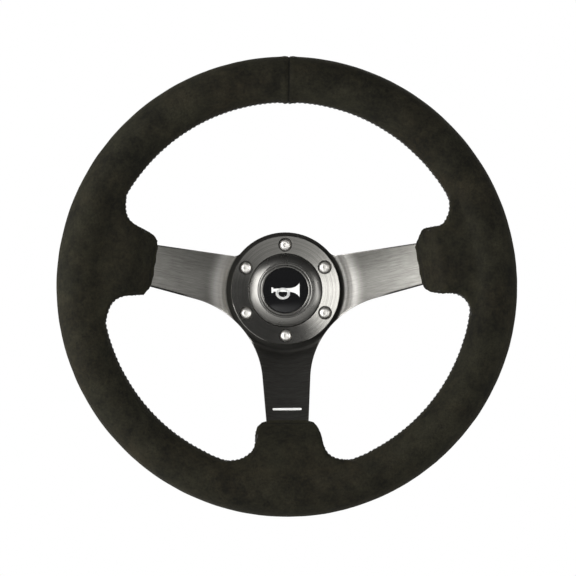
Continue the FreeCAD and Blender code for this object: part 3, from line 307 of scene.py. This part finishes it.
def brushedPlateFinish():
    p = plateEdge
    f = Finish("brushed_black_anodising", Metallic=1.0)
    x, y, z = f.axes()
    across = z - f.size(x) * math.tan(math.radians(spokeAngles[0]))
    fine = f.grain(1.0, 4, 0.7, f.vector(f.size(x) * 90, 0.0, across * 1700))
    broad = f.grain(1.0, 4, 0.7, f.vector(f.size(x) * 50, 0.0, across * 640))
    cloud = f.grain(45, 3, 0.55)
    shade = f.clip(fine * 0.6 + broad * 0.4, 0.30, 0.70)
    colour = f.blendColours(shade, (0.080, 0.077, 0.069), (0.205, 0.201, 0.189))
    colour = f.blendColours(f.clip(cloud, 0.45, 0.8) * 0.3, colour, (0.060, 0.057, 0.050))
    # a bright patch beside the ring, which stands in for a sheen that the ring would shade
    nearHub = f.blendColours(shade, (0.58, 0.567, 0.535), (0.95, 0.930, 0.890))
    beside = f.clip(f.fromAxis() * -1, -dishStart - 0.015, -dishStart - 0.003)
    colour = f.blendColours(f.clip(f.size(x), 0.024, 0.034) * beside ** 2, colour, nearHub)
    outsideRingShade = f.clip(f.fromAxis(), dishStart - 0.0018, dishStart)  # painted shade: round the ring the plate is painted a flat near black, and the brushed colour shows only on the spokes' sloping parts
    colour = f.blendColours(outsideRingShade, (0.035, 0.034, 0.031), colour)
    lean = math.radians(spokeAngles[0])
    spread = f.size(across) * math.cos(lean) + f.size(x) * (p["taper"] / math.cos(lean))
    rim = p["half"] + p["taper"] * p["at"]
    outer = f.clip(f.size(x), p["from"], p["full"])
    edgeShade = f.clip(spread, rim - p["lineStart"], rim - p["lineEnd"]) * outer
    colour = f.blendColours(edgeShade, colour, (0.006, 0.006, 0.005))  # painted shade: the side spokes' edges, which turn away from the light, are painted dark
    edge = f.add("ShaderNodeBevel", {"samples": 6}, {"Radius": p["broken"]})  # the broken edge's soft turn
    f.feed(Base_Color=colour, Roughness=0.44 - shade * 0.10)
    f.bumps((broad, 0.08, 0.0003), (fine, 0.22, 0.0001), start=edge)
    return f


def turnedFinish(name, dark, light, roughness, pitch=2200.0, metallic=1.0, bump=0.12, **fixed):
    # a lathe's rings round the steering axis, with faint handling marks
    f = Finish(name, Metallic=metallic, **fixed)
    x, y, z = f.axes()
    tool = f.lines(f.fromAxis() + y * 0.73, pitch)
    broad = f.lines(f.fromAxis() - y * 0.41, pitch * 0.13)
    handling = f.grain(110, 4, 0.65)
    shade = f.clip(tool * 0.7 + broad * 0.3, 0.3, 0.7)
    colour = f.blendColours(shade, dark, light)
    f.feed(Base_Color=f.blendColours(f.clip(handling, 0.55, 0.85) * 0.2, colour, dark))
    f.feed(Roughness=f.clip(handling, 0.3, 0.8) * 0.06 + (roughness - 0.03))
    f.bumps((broad, bump, 0.0001), (tool, bump, 0.00005))
    return f


def steelFinish(name, colour, roughness, scale=700.0):
    f = Finish(name, Metallic=1.0)
    scratch = f.grain(scale, 4, 0.7, f.place((1, 6, 1), (0.2, 0.5, 0.1)))
    smudge = f.grain(160, 3, 0.5)
    darker = tuple(c * 0.72 for c in colour)
    f.feed(Base_Color=f.blendColours(f.clip(scratch, 0.3, 0.75), colour, darker))
    f.feed(Roughness=f.clip(smudge, 0.3, 0.8) * 0.14 + roughness)
    f.bumps((scratch, 0.08, 0.0001))
    return f


def mouldedFinish(name, colour, roughness, texture=1500.0, bump=0.25):
    f = Finish(name)
    spark = f.grain(texture, 3, 0.6)
    cloud = f.grain(70, 3, 0.5)
    lighter = tuple(min(1.0, c * 1.6 + 0.004) for c in colour)
    f.feed(Base_Color=f.blendColours(f.clip(cloud, 0.35, 0.8) * 0.6, colour, lighter))
    f.feed(Roughness=f.clip(spark, 0.3, 0.7) * 0.12 + roughness)
    f.bumps((spark, bump, 0.0001))
    return f


def foamFinish():
    f = Finish("grip_foam")
    cells = f.add("ShaderNodeTexVoronoi", {}, {"Vector": f.place(), "Scale": 900.0})
    walls = f.clip(cells, 0.1, 0.7)
    f.feed(Base_Color=f.blendColours(walls, (0.012, 0.012, 0.012), (0.035, 0.034, 0.033)))
    f.feed(Roughness=f.clip(cells, 0, 1) * 0.1 + 0.85)
    f.bumps((cells, 0.5, 0.0004))
    return f


def domeFinish():
    f = Finish("black_dome", Coat_Weight=1.0, Coat_Roughness=0.02)
    f.shader.inputs["Specular IOR Level"].default_value = 0.0
    haze = f.grain(60, 3, 0.5)
    dust = f.grain(2400, 1, 0.5)
    speckled = f.clip(dust, 0.74, 0.8) * 0.3
    f.feed(Base_Color=f.blendColours(speckled, (0.0045, 0.0045, 0.005), (0.06, 0.055, 0.05)))
    f.feed(Roughness=f.clip(haze, 0.3, 0.8) * 0.06 + 0.06)
    return f


def weldFinish():
    f = Finish("weld_bead", Metallic=1.0)
    inputs = {"Vector": f.place(), "Scale": 160.0, "Distortion": 3.0}
    ripples = f.add("ShaderNodeTexWave", {"wave_type": "RINGS"}, inputs)
    f.feed(Base_Color=f.blendColours(ripples, (0.16, 0.13, 0.11), (0.42, 0.40, 0.38)))
    f.feed(Roughness=ripples * 0.2 + 0.4)
    f.bumps((ripples, 0.5, 0.0004))
    return f


# ---- the suede cover

cover = {
    "voxel": 0.0017,
    "sleeveHalf": 0.0082,  # half the sleeve's thickness
    "endAlong": 0.1063,  # where the sleeve's end crosses the plate
    "shoulder": ((0.1063, 0.0158), (0.1071, 0.0184), (0.1085, 0.0209), (0.1108, 0.0229), (0.1140, 0.0243)),
    "neckAlong": 0.1195,
    "neckHalf": 0.0258,
    "hollowHalf": 0.0410,  # middle and radius of the round hollow between sleeve and rim
    "hollowRadius": 0.0148,
    "kneeAlong": 0.1354,
    "kneeHalf": 0.0480,
    "rootAlong": 0.147,
    "rootHalf": 0.0560,
    "rootSwell": 0.28,  # how much thicker the sleeve grows where it runs into the rim
    "cornerRound": 0.0034,
    "rootRound": 16,
    "seamPitch": 0.0038,
    "seamWide": 0.0011,
    "seamDeep": 0.0007,
    "topSeamAngle": 89.1,
    "hemAlong": 0.0046,
    "windowMargin": 18.6,  # degrees from a spoke's axis to the start of the rim's inner seam
    "innerReach": 0.0042,  # the mesh is finer within these distances of the two kinds of seam
    "topReach": 0.0070,
}
# each sleeve is cut one by one: (along, share of the width) down its two sides, and how far its roots come in
handCut = {
    9.6: {
        "sides": (
            ((0.1063, 0.90), (0.1071, 0.86), (0.1094, 0.87), (0.1110, 0.93), (0.1135, 1.07), (0.1180, 1.00),
             (0.1220, 0.94), (0.1268, 0.93), (0.1312, 1.0)),
            ((0.1063, 1.0), (0.1312, 1.0)),
        ),
        "rootIn": (0.0015, 0.0),
    },
    170.4: {
        "sides": (
            ((0.1063, 0.94), (0.1085, 0.93), (0.1115, 1.05), (0.1150, 1.0)),
            ((0.1063, 1.0), (0.1312, 1.0)),
        ),
        "rootIn": (0.0034, 0.0036),
    },
    270.0: {
        "sides": (
            ((0.1063, 1.0), (0.1312, 1.0)),
            ((0.1085, 1.0), (0.1120, 1.03), (0.1200, 0.94), (0.1260, 0.94), (0.1312, 1.0)),
        ),
        "rootIn": (0.0026, 0.0024),
    },
}
dishEnd = dishStart + (plateHubY - rimY)  # the plate climbs at 45 degrees


def sleeveOutline():  # (along, half width) from the sleeve's end to its root inside the rim
    c = cover
    hollow = []
    for k in range(9):
        turn = math.radians(-90 + k * 11.25)
        along = c["neckAlong"] + c["hollowRadius"] * math.cos(turn)
        hollow.append((along, c["hollowHalf"] + c["hollowRadius"] * math.sin(turn)))
    return [*c["shoulder"], *hollow, (c["kneeAlong"], c["kneeHalf"]), (c["rootAlong"], c["rootHalf"])]


def dishedPoint(across, lift, along):
    # carries a point of a straight sleeve onto the dished plate: lift is the height over its middle
    middle = plateHubY - (min(along, dishEnd) - dishStart)
    slant = min(1.0, max(0.0, (dishEnd + 0.005 - along) / 0.010)) * math.radians(45)
    swell = min(1.0, max(0.0, (along - cover["neckAlong"]) / (cover["rootAlong"] - cover["neckAlong"])))
    lift = lift * (1 + cover["rootSwell"] * swell)
    return Vector((across, middle - lift * math.cos(slant), -(along - lift * math.sin(slant))))


def straightSleeve():
    c = cover
    (firstAlong, firstHalf), *rest = sleeveOutline()
    step = 0.0012
    bpy.ops.mesh.primitive_cube_add(size=1, location=(0, 0, firstAlong + step / 2))
    sleeve = newPiece("sleeve")
    sleeve.scale = (firstHalf * 2, c["sleeveHalf"] * 2, step)
    settle(sleeve)
    half, along = firstHalf, firstAlong + step
    pickFaces(sleeve, lambda face: face.normal.z > 0.9)
    for nextAlong, nextHalf in rest:
        bpy.ops.mesh.extrude_region_move(TRANSFORM_OT_translate={"value": (0, 0, nextAlong - along)})
        bpy.ops.transform.resize(value=(nextHalf / half, 1, 1), center_override=(0, 0, nextAlong))
        half, along = nextHalf, nextAlong
    bpy.ops.object.mode_set(mode="OBJECT")
    useModifier(sleeve, "BEVEL", width=c["cornerRound"], segments=4, limit_method="ANGLE",
                angle_limit=math.radians(50))
    editAll(sleeve)
    bpy.ops.mesh.subdivide(number_cuts=3)
    bpy.ops.object.mode_set(mode="OBJECT")
    return sleeve


def shareAt(stations, along):  # straight lines between the stations
    if along <= stations[0][0]:
        return stations[0][1]
    for (a, low), (b, high) in zip(stations, stations[1:]):
        if along <= b:
            return low + (high - low) * (along - a) / (b - a)
    return stations[-1][1]


def sleeveCopies(sleeve):
    copies = []
    for angle in spokeAngles:
        pick(sleeve)
        bpy.ops.object.duplicate()
        copy = newPiece("sleeve_at_%d" % angle)
        for vertex in copy.data.vertices:
            across, lift, along = vertex.co
            side = 0 if across >= 0 else 1
            across *= shareAt(handCut[angle]["sides"][side], along)
            rootward = min(1.0, max(0.0, (along - 0.117) / 0.010))
            vertex.co = dishedPoint(across, -lift, along - handCut[angle]["rootIn"][side] * rootward)
        copy.rotation_euler = (0, math.radians(-(angle - 270.0)), 0)
        settle(copy)
        copies.append(copy)
    bpy.data.objects.remove(sleeve)
    return copies


def roughCover():
    bpy.ops.mesh.primitive_torus_add(
        major_segments=240, minor_segments=56, major_radius=rimRadius, minor_radius=rimHalfWidth,
        location=(0, rimY, 0), rotation=(math.pi / 2, 0, 0))
    rim = newPiece("rim_cover")
    settle(rim)
    editAll(rim)
    bpy.ops.transform.resize(value=(1, rimHalfDepth / rimHalfWidth, 1), center_override=(0, rimY, 0))
    bpy.ops.object.mode_set(mode="OBJECT")
    joined(rim, *sleeveCopies(straightSleeve()))
    rim.data.remesh_voxel_size = cover["voxel"]
    pick(rim)
    bpy.ops.object.voxel_remesh()
    return rim


def spokeSpot(point):  # (nearest spoke's angle, along, across) of a point
    turn = math.degrees(math.atan2(point.z, point.x)) % 360
    angle = min(spokeAngles, key=lambda s: abs((turn - s + 180) % 360 - 180))
    a = math.radians(angle)
    along = point.x * math.cos(a) + point.z * math.sin(a)
    return angle, along, -point.x * math.sin(a) + point.z * math.cos(a)


def softenRoots(rim):
    soft = rim.vertex_groups.new(name="roots")
    for vertex in rim.data.vertices:
        angle, along, across = spokeSpot(vertex.co)
        away = math.hypot(vertex.co.x, vertex.co.z)
        if abs(across) < 0.062 and away < 0.150:
            soft.add([vertex.index], min(1.0, (0.150 - away) / 0.006), "REPLACE")
    useModifier(rim, "SMOOTH", factor=0.5, iterations=cover["rootRound"], vertex_group="roots")
    rim.vertex_groups.clear()


def sleeveSide(angle, side):
    # the seam's way down a sleeve's side, from the rim to the sleeve's end
    route = []
    for along, half in reversed(sleeveOutline()[:-1]):
        place = dishedPoint(0, 0, along)
        route.append(onSpoke(angle, -place.z, half * side, place.y))
    return route


def windowRoute(first, last):
    # the inner seam of one window, from one sleeve's end to the next one's
    span = (last - first) % 360
    start, end = first + cover["windowMargin"], first + span - cover["windowMargin"]
    inner = rimRadius - rimHalfWidth
    steps = int(span)
    arc = [onSpoke(start + (end - start) * k / steps, inner, 0, rimY) for k in range(steps + 1)]
    return [*reversed(sleeveSide(first, 1)), *arc, *sleeveSide(first + span, -1)]


def evenly(route, spacing):  # points an even distance apart on a chain of points
    points, left = [], 0.0
    for here, there in zip(route, route[1:]):
        length = (there - here).length
        while left <= length:
            points.append(here.lerp(there, left / length))
            left += spacing
        left -= length
    return points


def topSeamRoute():
    a = math.radians(cover["topSeamAngle"])
    route = []
    for k in range(121):
        t = k / 120 * 2 * math.pi
        away = rimRadius + rimHalfWidth * math.cos(t)
        route.append(Vector((away * math.cos(a), rimY + rimHalfDepth * math.sin(t), away * math.sin(a))))
    return route


def routeTree(routes):
    spots = [(point, k) for route in routes for k, point in enumerate(evenly(route, 0.0004))]
    tree = KDTree(len(spots))
    for index, (point, k) in enumerate(spots):
        tree.insert(point, index)
    tree.balance()
    return tree, [k * 0.0004 for point, k in spots]


def finer(rim, tree, reach, cuts):
    pickFaces(rim, lambda face: tree.find(face.center)[2] < reach)
    bpy.ops.mesh.subdivide(number_cuts=cuts, quadcorner="INNERVERT")
    bpy.ops.object.mode_set(mode="OBJECT")


def hemDepth(point):  # how far a point is from a sleeve's end, measured along the sleeve
    angle, along, across = spokeSpot(point)
    if abs(across) > 0.030 or along > 0.125:
        return 1.0
    middle = plateHubY - (cover["endAlong"] - dishStart)
    return (along - cover["endAlong"]) * math.sqrt(0.5) + (middle - point.y) * math.sqrt(0.5)


def valley(distance, wide):
    return math.exp(-((distance / wide) ** 2))


def sewCover(rim, windows, topRoute):
    c = cover
    innerTree, innerWay = routeTree(windows)
    topTree, topWay = routeTree([topRoute])
    finer(rim, innerTree, c["innerReach"], 1)
    finer(rim, topTree, c["topReach"], 2)
    shade = rim.data.attributes.new("seamShade", "FLOAT", "POINT")
    moves = []
    for vertex in rim.data.vertices:
        point, normal = vertex.co, vertex.normal
        shift = 0.00016 * noise.noise(point * 55) + 0.00009 * noise.noise(point * 160)
        spot, index, away = innerTree.find(point)
        pull = 0.5 + 0.5 * math.cos(innerWay[index] / c["seamPitch"] * 2 * math.pi)
        inner = valley(away, c["seamWide"])
        shift -= c["seamDeep"] * (inner + 0.30 * pull * valley(away, 0.0026))
        spot, index, off = topTree.find(point)
        tug = 0.5 + 0.5 * math.cos(topWay[index] / 0.0062 * 2 * math.pi)
        top = valley(off, 0.0006)
        shift += 0.00045 * valley(off - 0.0032, 0.0024) * (1 - 0.4 * tug) - 0.0006 * top
        facing = max(0.0, -normal.dot(Vector((point.x, 0, point.z)).normalized()))
        shift += 0.0009 * facing * valley(off, 0.0040)
        hem = hemDepth(point)
        line = valley(hem - c["hemAlong"], 0.0007) if hem < 0.02 else 0.0
        shift -= 0.00035 * line
        moves.append(normal * shift)
        shade.data[vertex.index].value = min(1.0, max(inner, top, 0.75 * line))
    for vertex, move in zip(rim.data.vertices, moves):
        vertex.co = vertex.co + move


# ---- stitches

stitch = {"thick": 0.0004, "long": 0.0040, "offset": 0.0022, "lean": 32}


def oneStitch():  # a short bowed bar of thread, lying along X with its back up Z
    s = stitch
    bpy.ops.mesh.primitive_cylinder_add(
        vertices=6, radius=s["thick"], depth=s["long"] * 0.7, rotation=(0, math.pi / 2, 0))
    bar = newPiece("stitch")
    settle(bar)
    for way in (1, -1):
        pickFaces(bar, lambda face: face.normal.x * way > 0.9)
        tip = s["long"] * 0.35 * way
        for move, drop, size in ((0.10, -0.10, 0.85), (0.05, -0.16, 0.45)):
            step = (s["long"] * move * way, 0, s["long"] * drop)
            bpy.ops.mesh.extrude_region_move(TRANSFORM_OT_translate={"value": step})
            bpy.ops.transform.resize(value=(1, size, size), center_override=(tip + step[0], 0, step[2]))
    bpy.ops.object.mode_set(mode="OBJECT")
    bpy.ops.object.shade_smooth()
    return bar


def sewnRow(name, surface, route, bar):
    # pairs of leaning stitches either side of a seam, laid on the cover's surface
    row = []
    points = evenly(route, cover["seamPitch"])
    lean = math.radians(stitch["lean"])
    for k in range(1, len(points) - 1):
        spot, normal, face, away = surface.find_nearest(points[k])
        ahead = (points[k + 1] - points[k - 1]).normalized()
        across = ahead.cross(normal).normalized()
        ahead = normal.cross(across).normalized()
        for side in (1, -1):
            pick(bar)
            bpy.ops.object.duplicate()
            copy = bpy.context.active_object
            way = (across * side * math.cos(lean) + ahead * math.sin(lean)).normalized()
            reach, tilt, face, gap = surface.find_nearest(spot + across * side * stitch["offset"])
            way = (way - tilt * way.dot(tilt)).normalized()
            turn = Matrix((way, tilt.cross(way), tilt)).transposed().to_4x4()
            place = reach + tilt * stitch["thick"] * 0.3
            copy.matrix_world = Matrix.Translation(place) @ turn
            row.append(copy)
    whole = joined(*row)
    whole.name = whole.data.name = name
    settle(whole)
    return whole


def makeCover():
    rim = roughCover()
    softenRoots(rim)
    first, second, third = spokeAngles
    windows = [windowRoute(first, second), windowRoute(second, third), windowRoute(third, first + 360)]
    topRoute = topSeamRoute()
    sewCover(rim, windows, topRoute)
    pick(rim)
    bpy.ops.object.shade_smooth()
    give(suedeFinish(), rim)
    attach(rim, "wheel")
    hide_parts("suede_cover")
    print("cover sewn:", len(rim.data.polygons), "faces")
    return rim, windows


def makeStitches(rim, windows):
    bpy.context.view_layer.update()
    surface = BVHTree.FromObject(rim, bpy.context.evaluated_depsgraph_get())
    bar = oneStitch()
    rows = [sewnRow("window_seam_%d" % k, surface, route, bar) for k, route in enumerate(windows, start=1)]
    bpy.data.objects.remove(bar)
    finish = threadFinish()
    for row in rows:
        give(finish, row)
        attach(row, "wheel")
    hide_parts("cover_stitching")
    print("stitches laid:", sum(len(row.data.polygons) for row in rows), "faces")


# ---- marks

marks = {"hornWide": 0.0215, "proud": 0.00004, "thick": 0.00012, "ruleWide": 0.022, "ruleHigh": 0.0017,
         "ruleAlong": 0.0925}


def flatShape(name, points):  # a flat outline in the XZ plane, filled
    bpy.ops.mesh.primitive_circle_add(
        vertices=len(points), radius=0.001, fill_type="NGON", rotation=(math.pi / 2, 0, 0))
    shape = newPiece(name)
    settle(shape)
    for vertex, (x, z) in zip(shape.data.vertices, points):
        vertex.co = Vector((x, 0, z))
    return shape


def hornShape():
    # a bugle drawn in units of its half length, bell to the right
    bell = [(1.0, 0.50), (0.86, 0.34), (0.66, 0.21), (0.42, 0.14), (-0.86, 0.10), (-0.88, 0.18), (-1.0, 0.20)]
    outline = bell + [(x, -z) for x, z in reversed(bell)]
    body = flatShape("horn_mark", outline)
    bpy.ops.mesh.primitive_torus_add(
        major_segments=40, minor_segments=4, major_radius=0.33, minor_radius=0.075,
        location=(-0.15, 0, -0.25), rotation=(math.pi / 2, 0, 0))
    loop = newPiece("horn_loop")
    settle(loop)
    loop.scale = (1.25, 0.0, 1.0)
    settle(loop)
    horn = joined(body, loop)
    horn.scale = (marks["hornWide"] / 2,) * 3
    settle(horn)
    return horn


def layOn(piece, name, top):
    # drops a flat mark onto a node's front, a hair proud of it, and gives it the thickness of paint
    editAll(piece)
    bpy.ops.mesh.quads_convert_to_tris()
    bpy.ops.mesh.subdivide(number_cuts=5)
    bpy.ops.object.mode_set(mode="OBJECT")
    surface = BVHTree.FromObject(nodes[name], bpy.context.evaluated_depsgraph_get())
    for vertex in piece.data.vertices:
        start = Vector((vertex.co.x, top, vertex.co.z))
        spot, normal, face, gap = surface.ray_cast(start, Vector((0, 1, 0)))
        vertex.co = spot + normal * marks["proud"] * (1 if normal.y < 0 else -1)
    useModifier(piece, "SOLIDIFY", thickness=marks["thick"], offset=0)


def makeMarks():
    white = mouldedFinish("white_print", (0.80, 0.80, 0.78), 0.35, 900.0, 0.05)
    horn = hornShape()
    layOn(horn, "badge_lens", lensLow.y - 0.01)
    give(white, horn)
    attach(horn, "horn_button")
    half, high = marks["ruleWide"] / 2, marks["ruleHigh"] / 2
    middle = -marks["ruleAlong"]
    ends = [(half, high * 0.5), (half - high * 0.5, high), (-half + high * 0.5, high), (-half, high * 0.5)]
    rule = flatShape("spoke_rule", [(x, middle + z) for x, z in ends + [(x, -z) for x, z in reversed(ends)]])
    layOn(rule, "spoke_frame", plateLow.y - 0.01)
    give(white, rule)
    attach(rule, "wheel")
    print("marks laid")


def finishCadNodes():
    black = turnedFinish("hard_anodised_black", (0.05, 0.049, 0.046), (0.11, 0.108, 0.10), 0.34, bump=0.3)
    collar = turnedFinish("collar_anodised", (0.07, 0.069, 0.066), (0.16, 0.157, 0.15), 0.32, bump=0.3)
    ring = turnedFinish("turned_ring", (0.125, 0.122, 0.112), (0.235, 0.230, 0.216), 0.24, bump=0.3)
    bezel = turnedFinish("turned_bezel", (0.115, 0.112, 0.104), (0.235, 0.230, 0.218), 0.29, bump=0.2)
    stainless = steelFinish("stainless_screws", (0.95, 0.93, 0.89), 0.42)
    spring = steelFinish("spring_steel", (0.45, 0.45, 0.46), 0.3)
    ball = steelFinish("bearing_steel", (0.75, 0.76, 0.78), 0.06, 300.0)
    hoop = steelFinish("drawn_rod", (0.4, 0.4, 0.41), 0.35)
    brass = steelFinish("brass", (0.72, 0.52, 0.22), 0.25)
    plastic = mouldedFinish("moulded_black", (0.012, 0.012, 0.012), 0.45)
    rubber = mouldedFinish("rubber", (0.01, 0.01, 0.01), 0.75, 900.0, 0.4)
    sheath = mouldedFinish("lead_sheath", (0.30, 0.012, 0.01), 0.35, 700.0, 0.1)
    badge = mouldedFinish("badge_plate", (0.006, 0.006, 0.0065), 0.3)
    finishes = {
        "spoke_frame": brushedPlateFinish(), "horn_ring": ring, "horn_bezel": bezel, "ring_screws": stainless,
        "badge_lens": domeFinish(), "badge_plate": badge, "base_hub": black, "coupler_body": black,
        "lock_collar": collar, "collar_clip": spring, "insulator_clip": spring, "rim_ring": hoop,
        "spoke_welds": weldFinish(), "grip_foam": foamFinish(), "button_gasket": rubber,
        "horn_housing": plastic, "base_insulator": plastic,
        "contact_insulator": plastic, "base_contact": brass, "contact_plunger": brass,
        "plunger_terminal": brass, "fixed_contact": brass, "moving_contact": brass,
        "horn_terminals": brass, "horn_lead": sheath,
    }
    for name, node in nodes.items():
        if name.startswith("lock_ball"):
            give(ball, node)
        elif name in finishes:
            give(finishes[name], node)
    print("finishes given to the frame")


# ---- the springs, wound as fixed coils in their boxes; the real ones shorten between their two bodies as a joint moves

springs = {  # towards: which way along Y the moving end lies
    "collar_spring": {"wire": 0.0010, "turns": 2.6, "moves": "collar", "towards": 1},
    "horn_spring": {"wire": 0.0010, "turns": 3.0, "moves": "horn_button", "towards": -1},
    "plunger_spring": {"wire": 0.0005, "turns": 5.0, "moves": "plunger", "towards": 1},
}


def makeSprings():
    steel = steelFinish("spring_wire", (0.45, 0.45, 0.46), 0.3)
    for name, work in springs.items():
        low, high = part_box(name)
        half = work["wire"] / 2
        place = ((high.x - low.x) / 2 - half, low.y + half, 0)
        bpy.ops.mesh.primitive_circle_add(vertices=12, radius=half, location=place)
        coil = newPiece(name + "_coil")
        settle(coil)
        useModifier(coil, "SCREW", axis="Y", angle=math.tau * work["turns"], steps=int(32 * work["turns"]),
                    screw_offset=high.y - low.y - work["wire"], use_normal_calculate=True)
        editAll(coil)
        bpy.ops.mesh.fill_holes(sides=0)
        bpy.ops.mesh.normals_make_consistent(inside=False)
        smooth(coil, 60)
        give(steel, coil)
        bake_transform(coil)
        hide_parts(name)
    print("springs wound")


# ---- stage, light and camera

stage = {"floorZ": -0.42, "floorHalf": 12.0, "floorGlow": 0.80, "worldLight": 0.13}
camera = {"azimuth": -1.0, "elevation": -2.5, "distance": 6.0, "frameWide": 0.4374, "roll": 0.4,
          "aimRight": 0.0008, "aimUp": -0.0012}


def makeStage():
    half = stage["floorHalf"]
    bpy.ops.mesh.primitive_plane_add(size=half * 2, location=(0, 0, stage["floorZ"]))
    floor = newPiece("pale_floor")
    settle(floor)
    f = Finish("pale_floor", Roughness=0.9, Emission_Strength=stage["floorGlow"])
    f.feed(Base_Color=f.blendColours(f.grain(3, 2), (0.80, 0.80, 0.795), (0.84, 0.84, 0.835)))
    seen = f.add("ShaderNodeLightPath")  # an even pale floor, with no light of its own on the wheel
    f.feed(Emission_Color=f.blendColours(seen, (0.0, 0.0, 0.0), (1.0, 1.0, 0.99)))
    give(f, floor)


lamps = {  # place, width, height and power of each soft box, all aimed at the middle of the rim
    "key": ((-1.70, -1.50, 0.24), 2.84, 1.8, 98),
    "left_side": ((-2.1, -0.2, 0.1), 0.9, 1.4, 42),
    "right_front": ((1.70, -1.30, 0.1), 0.7, 1.2, 18),
    "right_side": ((2.1, -0.2, 0.1), 0.9, 1.4, 14),
    "back": ((0.8, 1.9, 1.2), 1.5, 1.5, 22),
}


def softBox(name, place, aim, wide, high, power):
    data = bpy.data.lights.new(name, "AREA")
    data.shape = "RECTANGLE"
    data.size, data.size_y, data.energy = wide, high, power
    lamp = bpy.data.objects.new(name, data)
    bpy.context.scene.collection.objects.link(lamp)
    lamp.location = place
    lamp.rotation_mode = "QUATERNION"
    lamp.rotation_quaternion = (Vector(aim) - Vector(place)).to_track_quat("-Z", "Y")


def makeLight():
    world = bpy.data.worlds.new("studio")
    bpy.context.scene.world = world
    world.use_nodes = True
    tree = world.node_tree
    sky = tree.nodes["Background"]
    sky.inputs["Color"].default_value = (1, 1, 1, 1)
    seen = tree.nodes.new("ShaderNodeLightPath")
    level = tree.nodes.new("ShaderNodeMapRange")
    level.inputs["To Min"].default_value = stage["worldLight"]
    level.inputs["To Max"].default_value = 1.0
    tree.links.new(seen.outputs["Is Camera Ray"], level.inputs["Value"])
    tree.links.new(level.outputs["Result"], sky.inputs["Strength"])
    for name, (place, wide, high, power) in lamps.items():
        softBox(name, place, (0, rimY, 0), wide, high, power)


def makeCamera():
    c = camera
    data = bpy.data.cameras.new("camera")
    data.sensor_width = 36.0
    data.lens = data.sensor_width * c["distance"] / c["frameWide"]
    data.clip_end = 50.0
    eye = bpy.data.objects.new("camera", data)
    bpy.context.scene.collection.objects.link(eye)
    a, e = math.radians(c["azimuth"]), math.radians(c["elevation"])
    back = Vector((math.sin(a) * math.cos(e), -math.cos(a) * math.cos(e), math.sin(e)))
    aim = Vector((c["aimRight"], rimY, c["aimUp"]))
    turn = (-back).to_track_quat("-Z", "Y").to_matrix() @ Matrix.Rotation(math.radians(-c["roll"]), 3, "Z")
    eye.matrix_world = Matrix.Translation(aim + back * c["distance"]) @ turn.to_4x4()
    bpy.context.scene.camera = eye
    bpy.context.scene.view_settings.view_transform = "Standard"


makeCamera()
makeStage()
makeLight()
finishCadNodes()
rim, windows = makeCover()
makeStitches(rim, windows)
makeMarks()
makeSprings()
print("scene made")
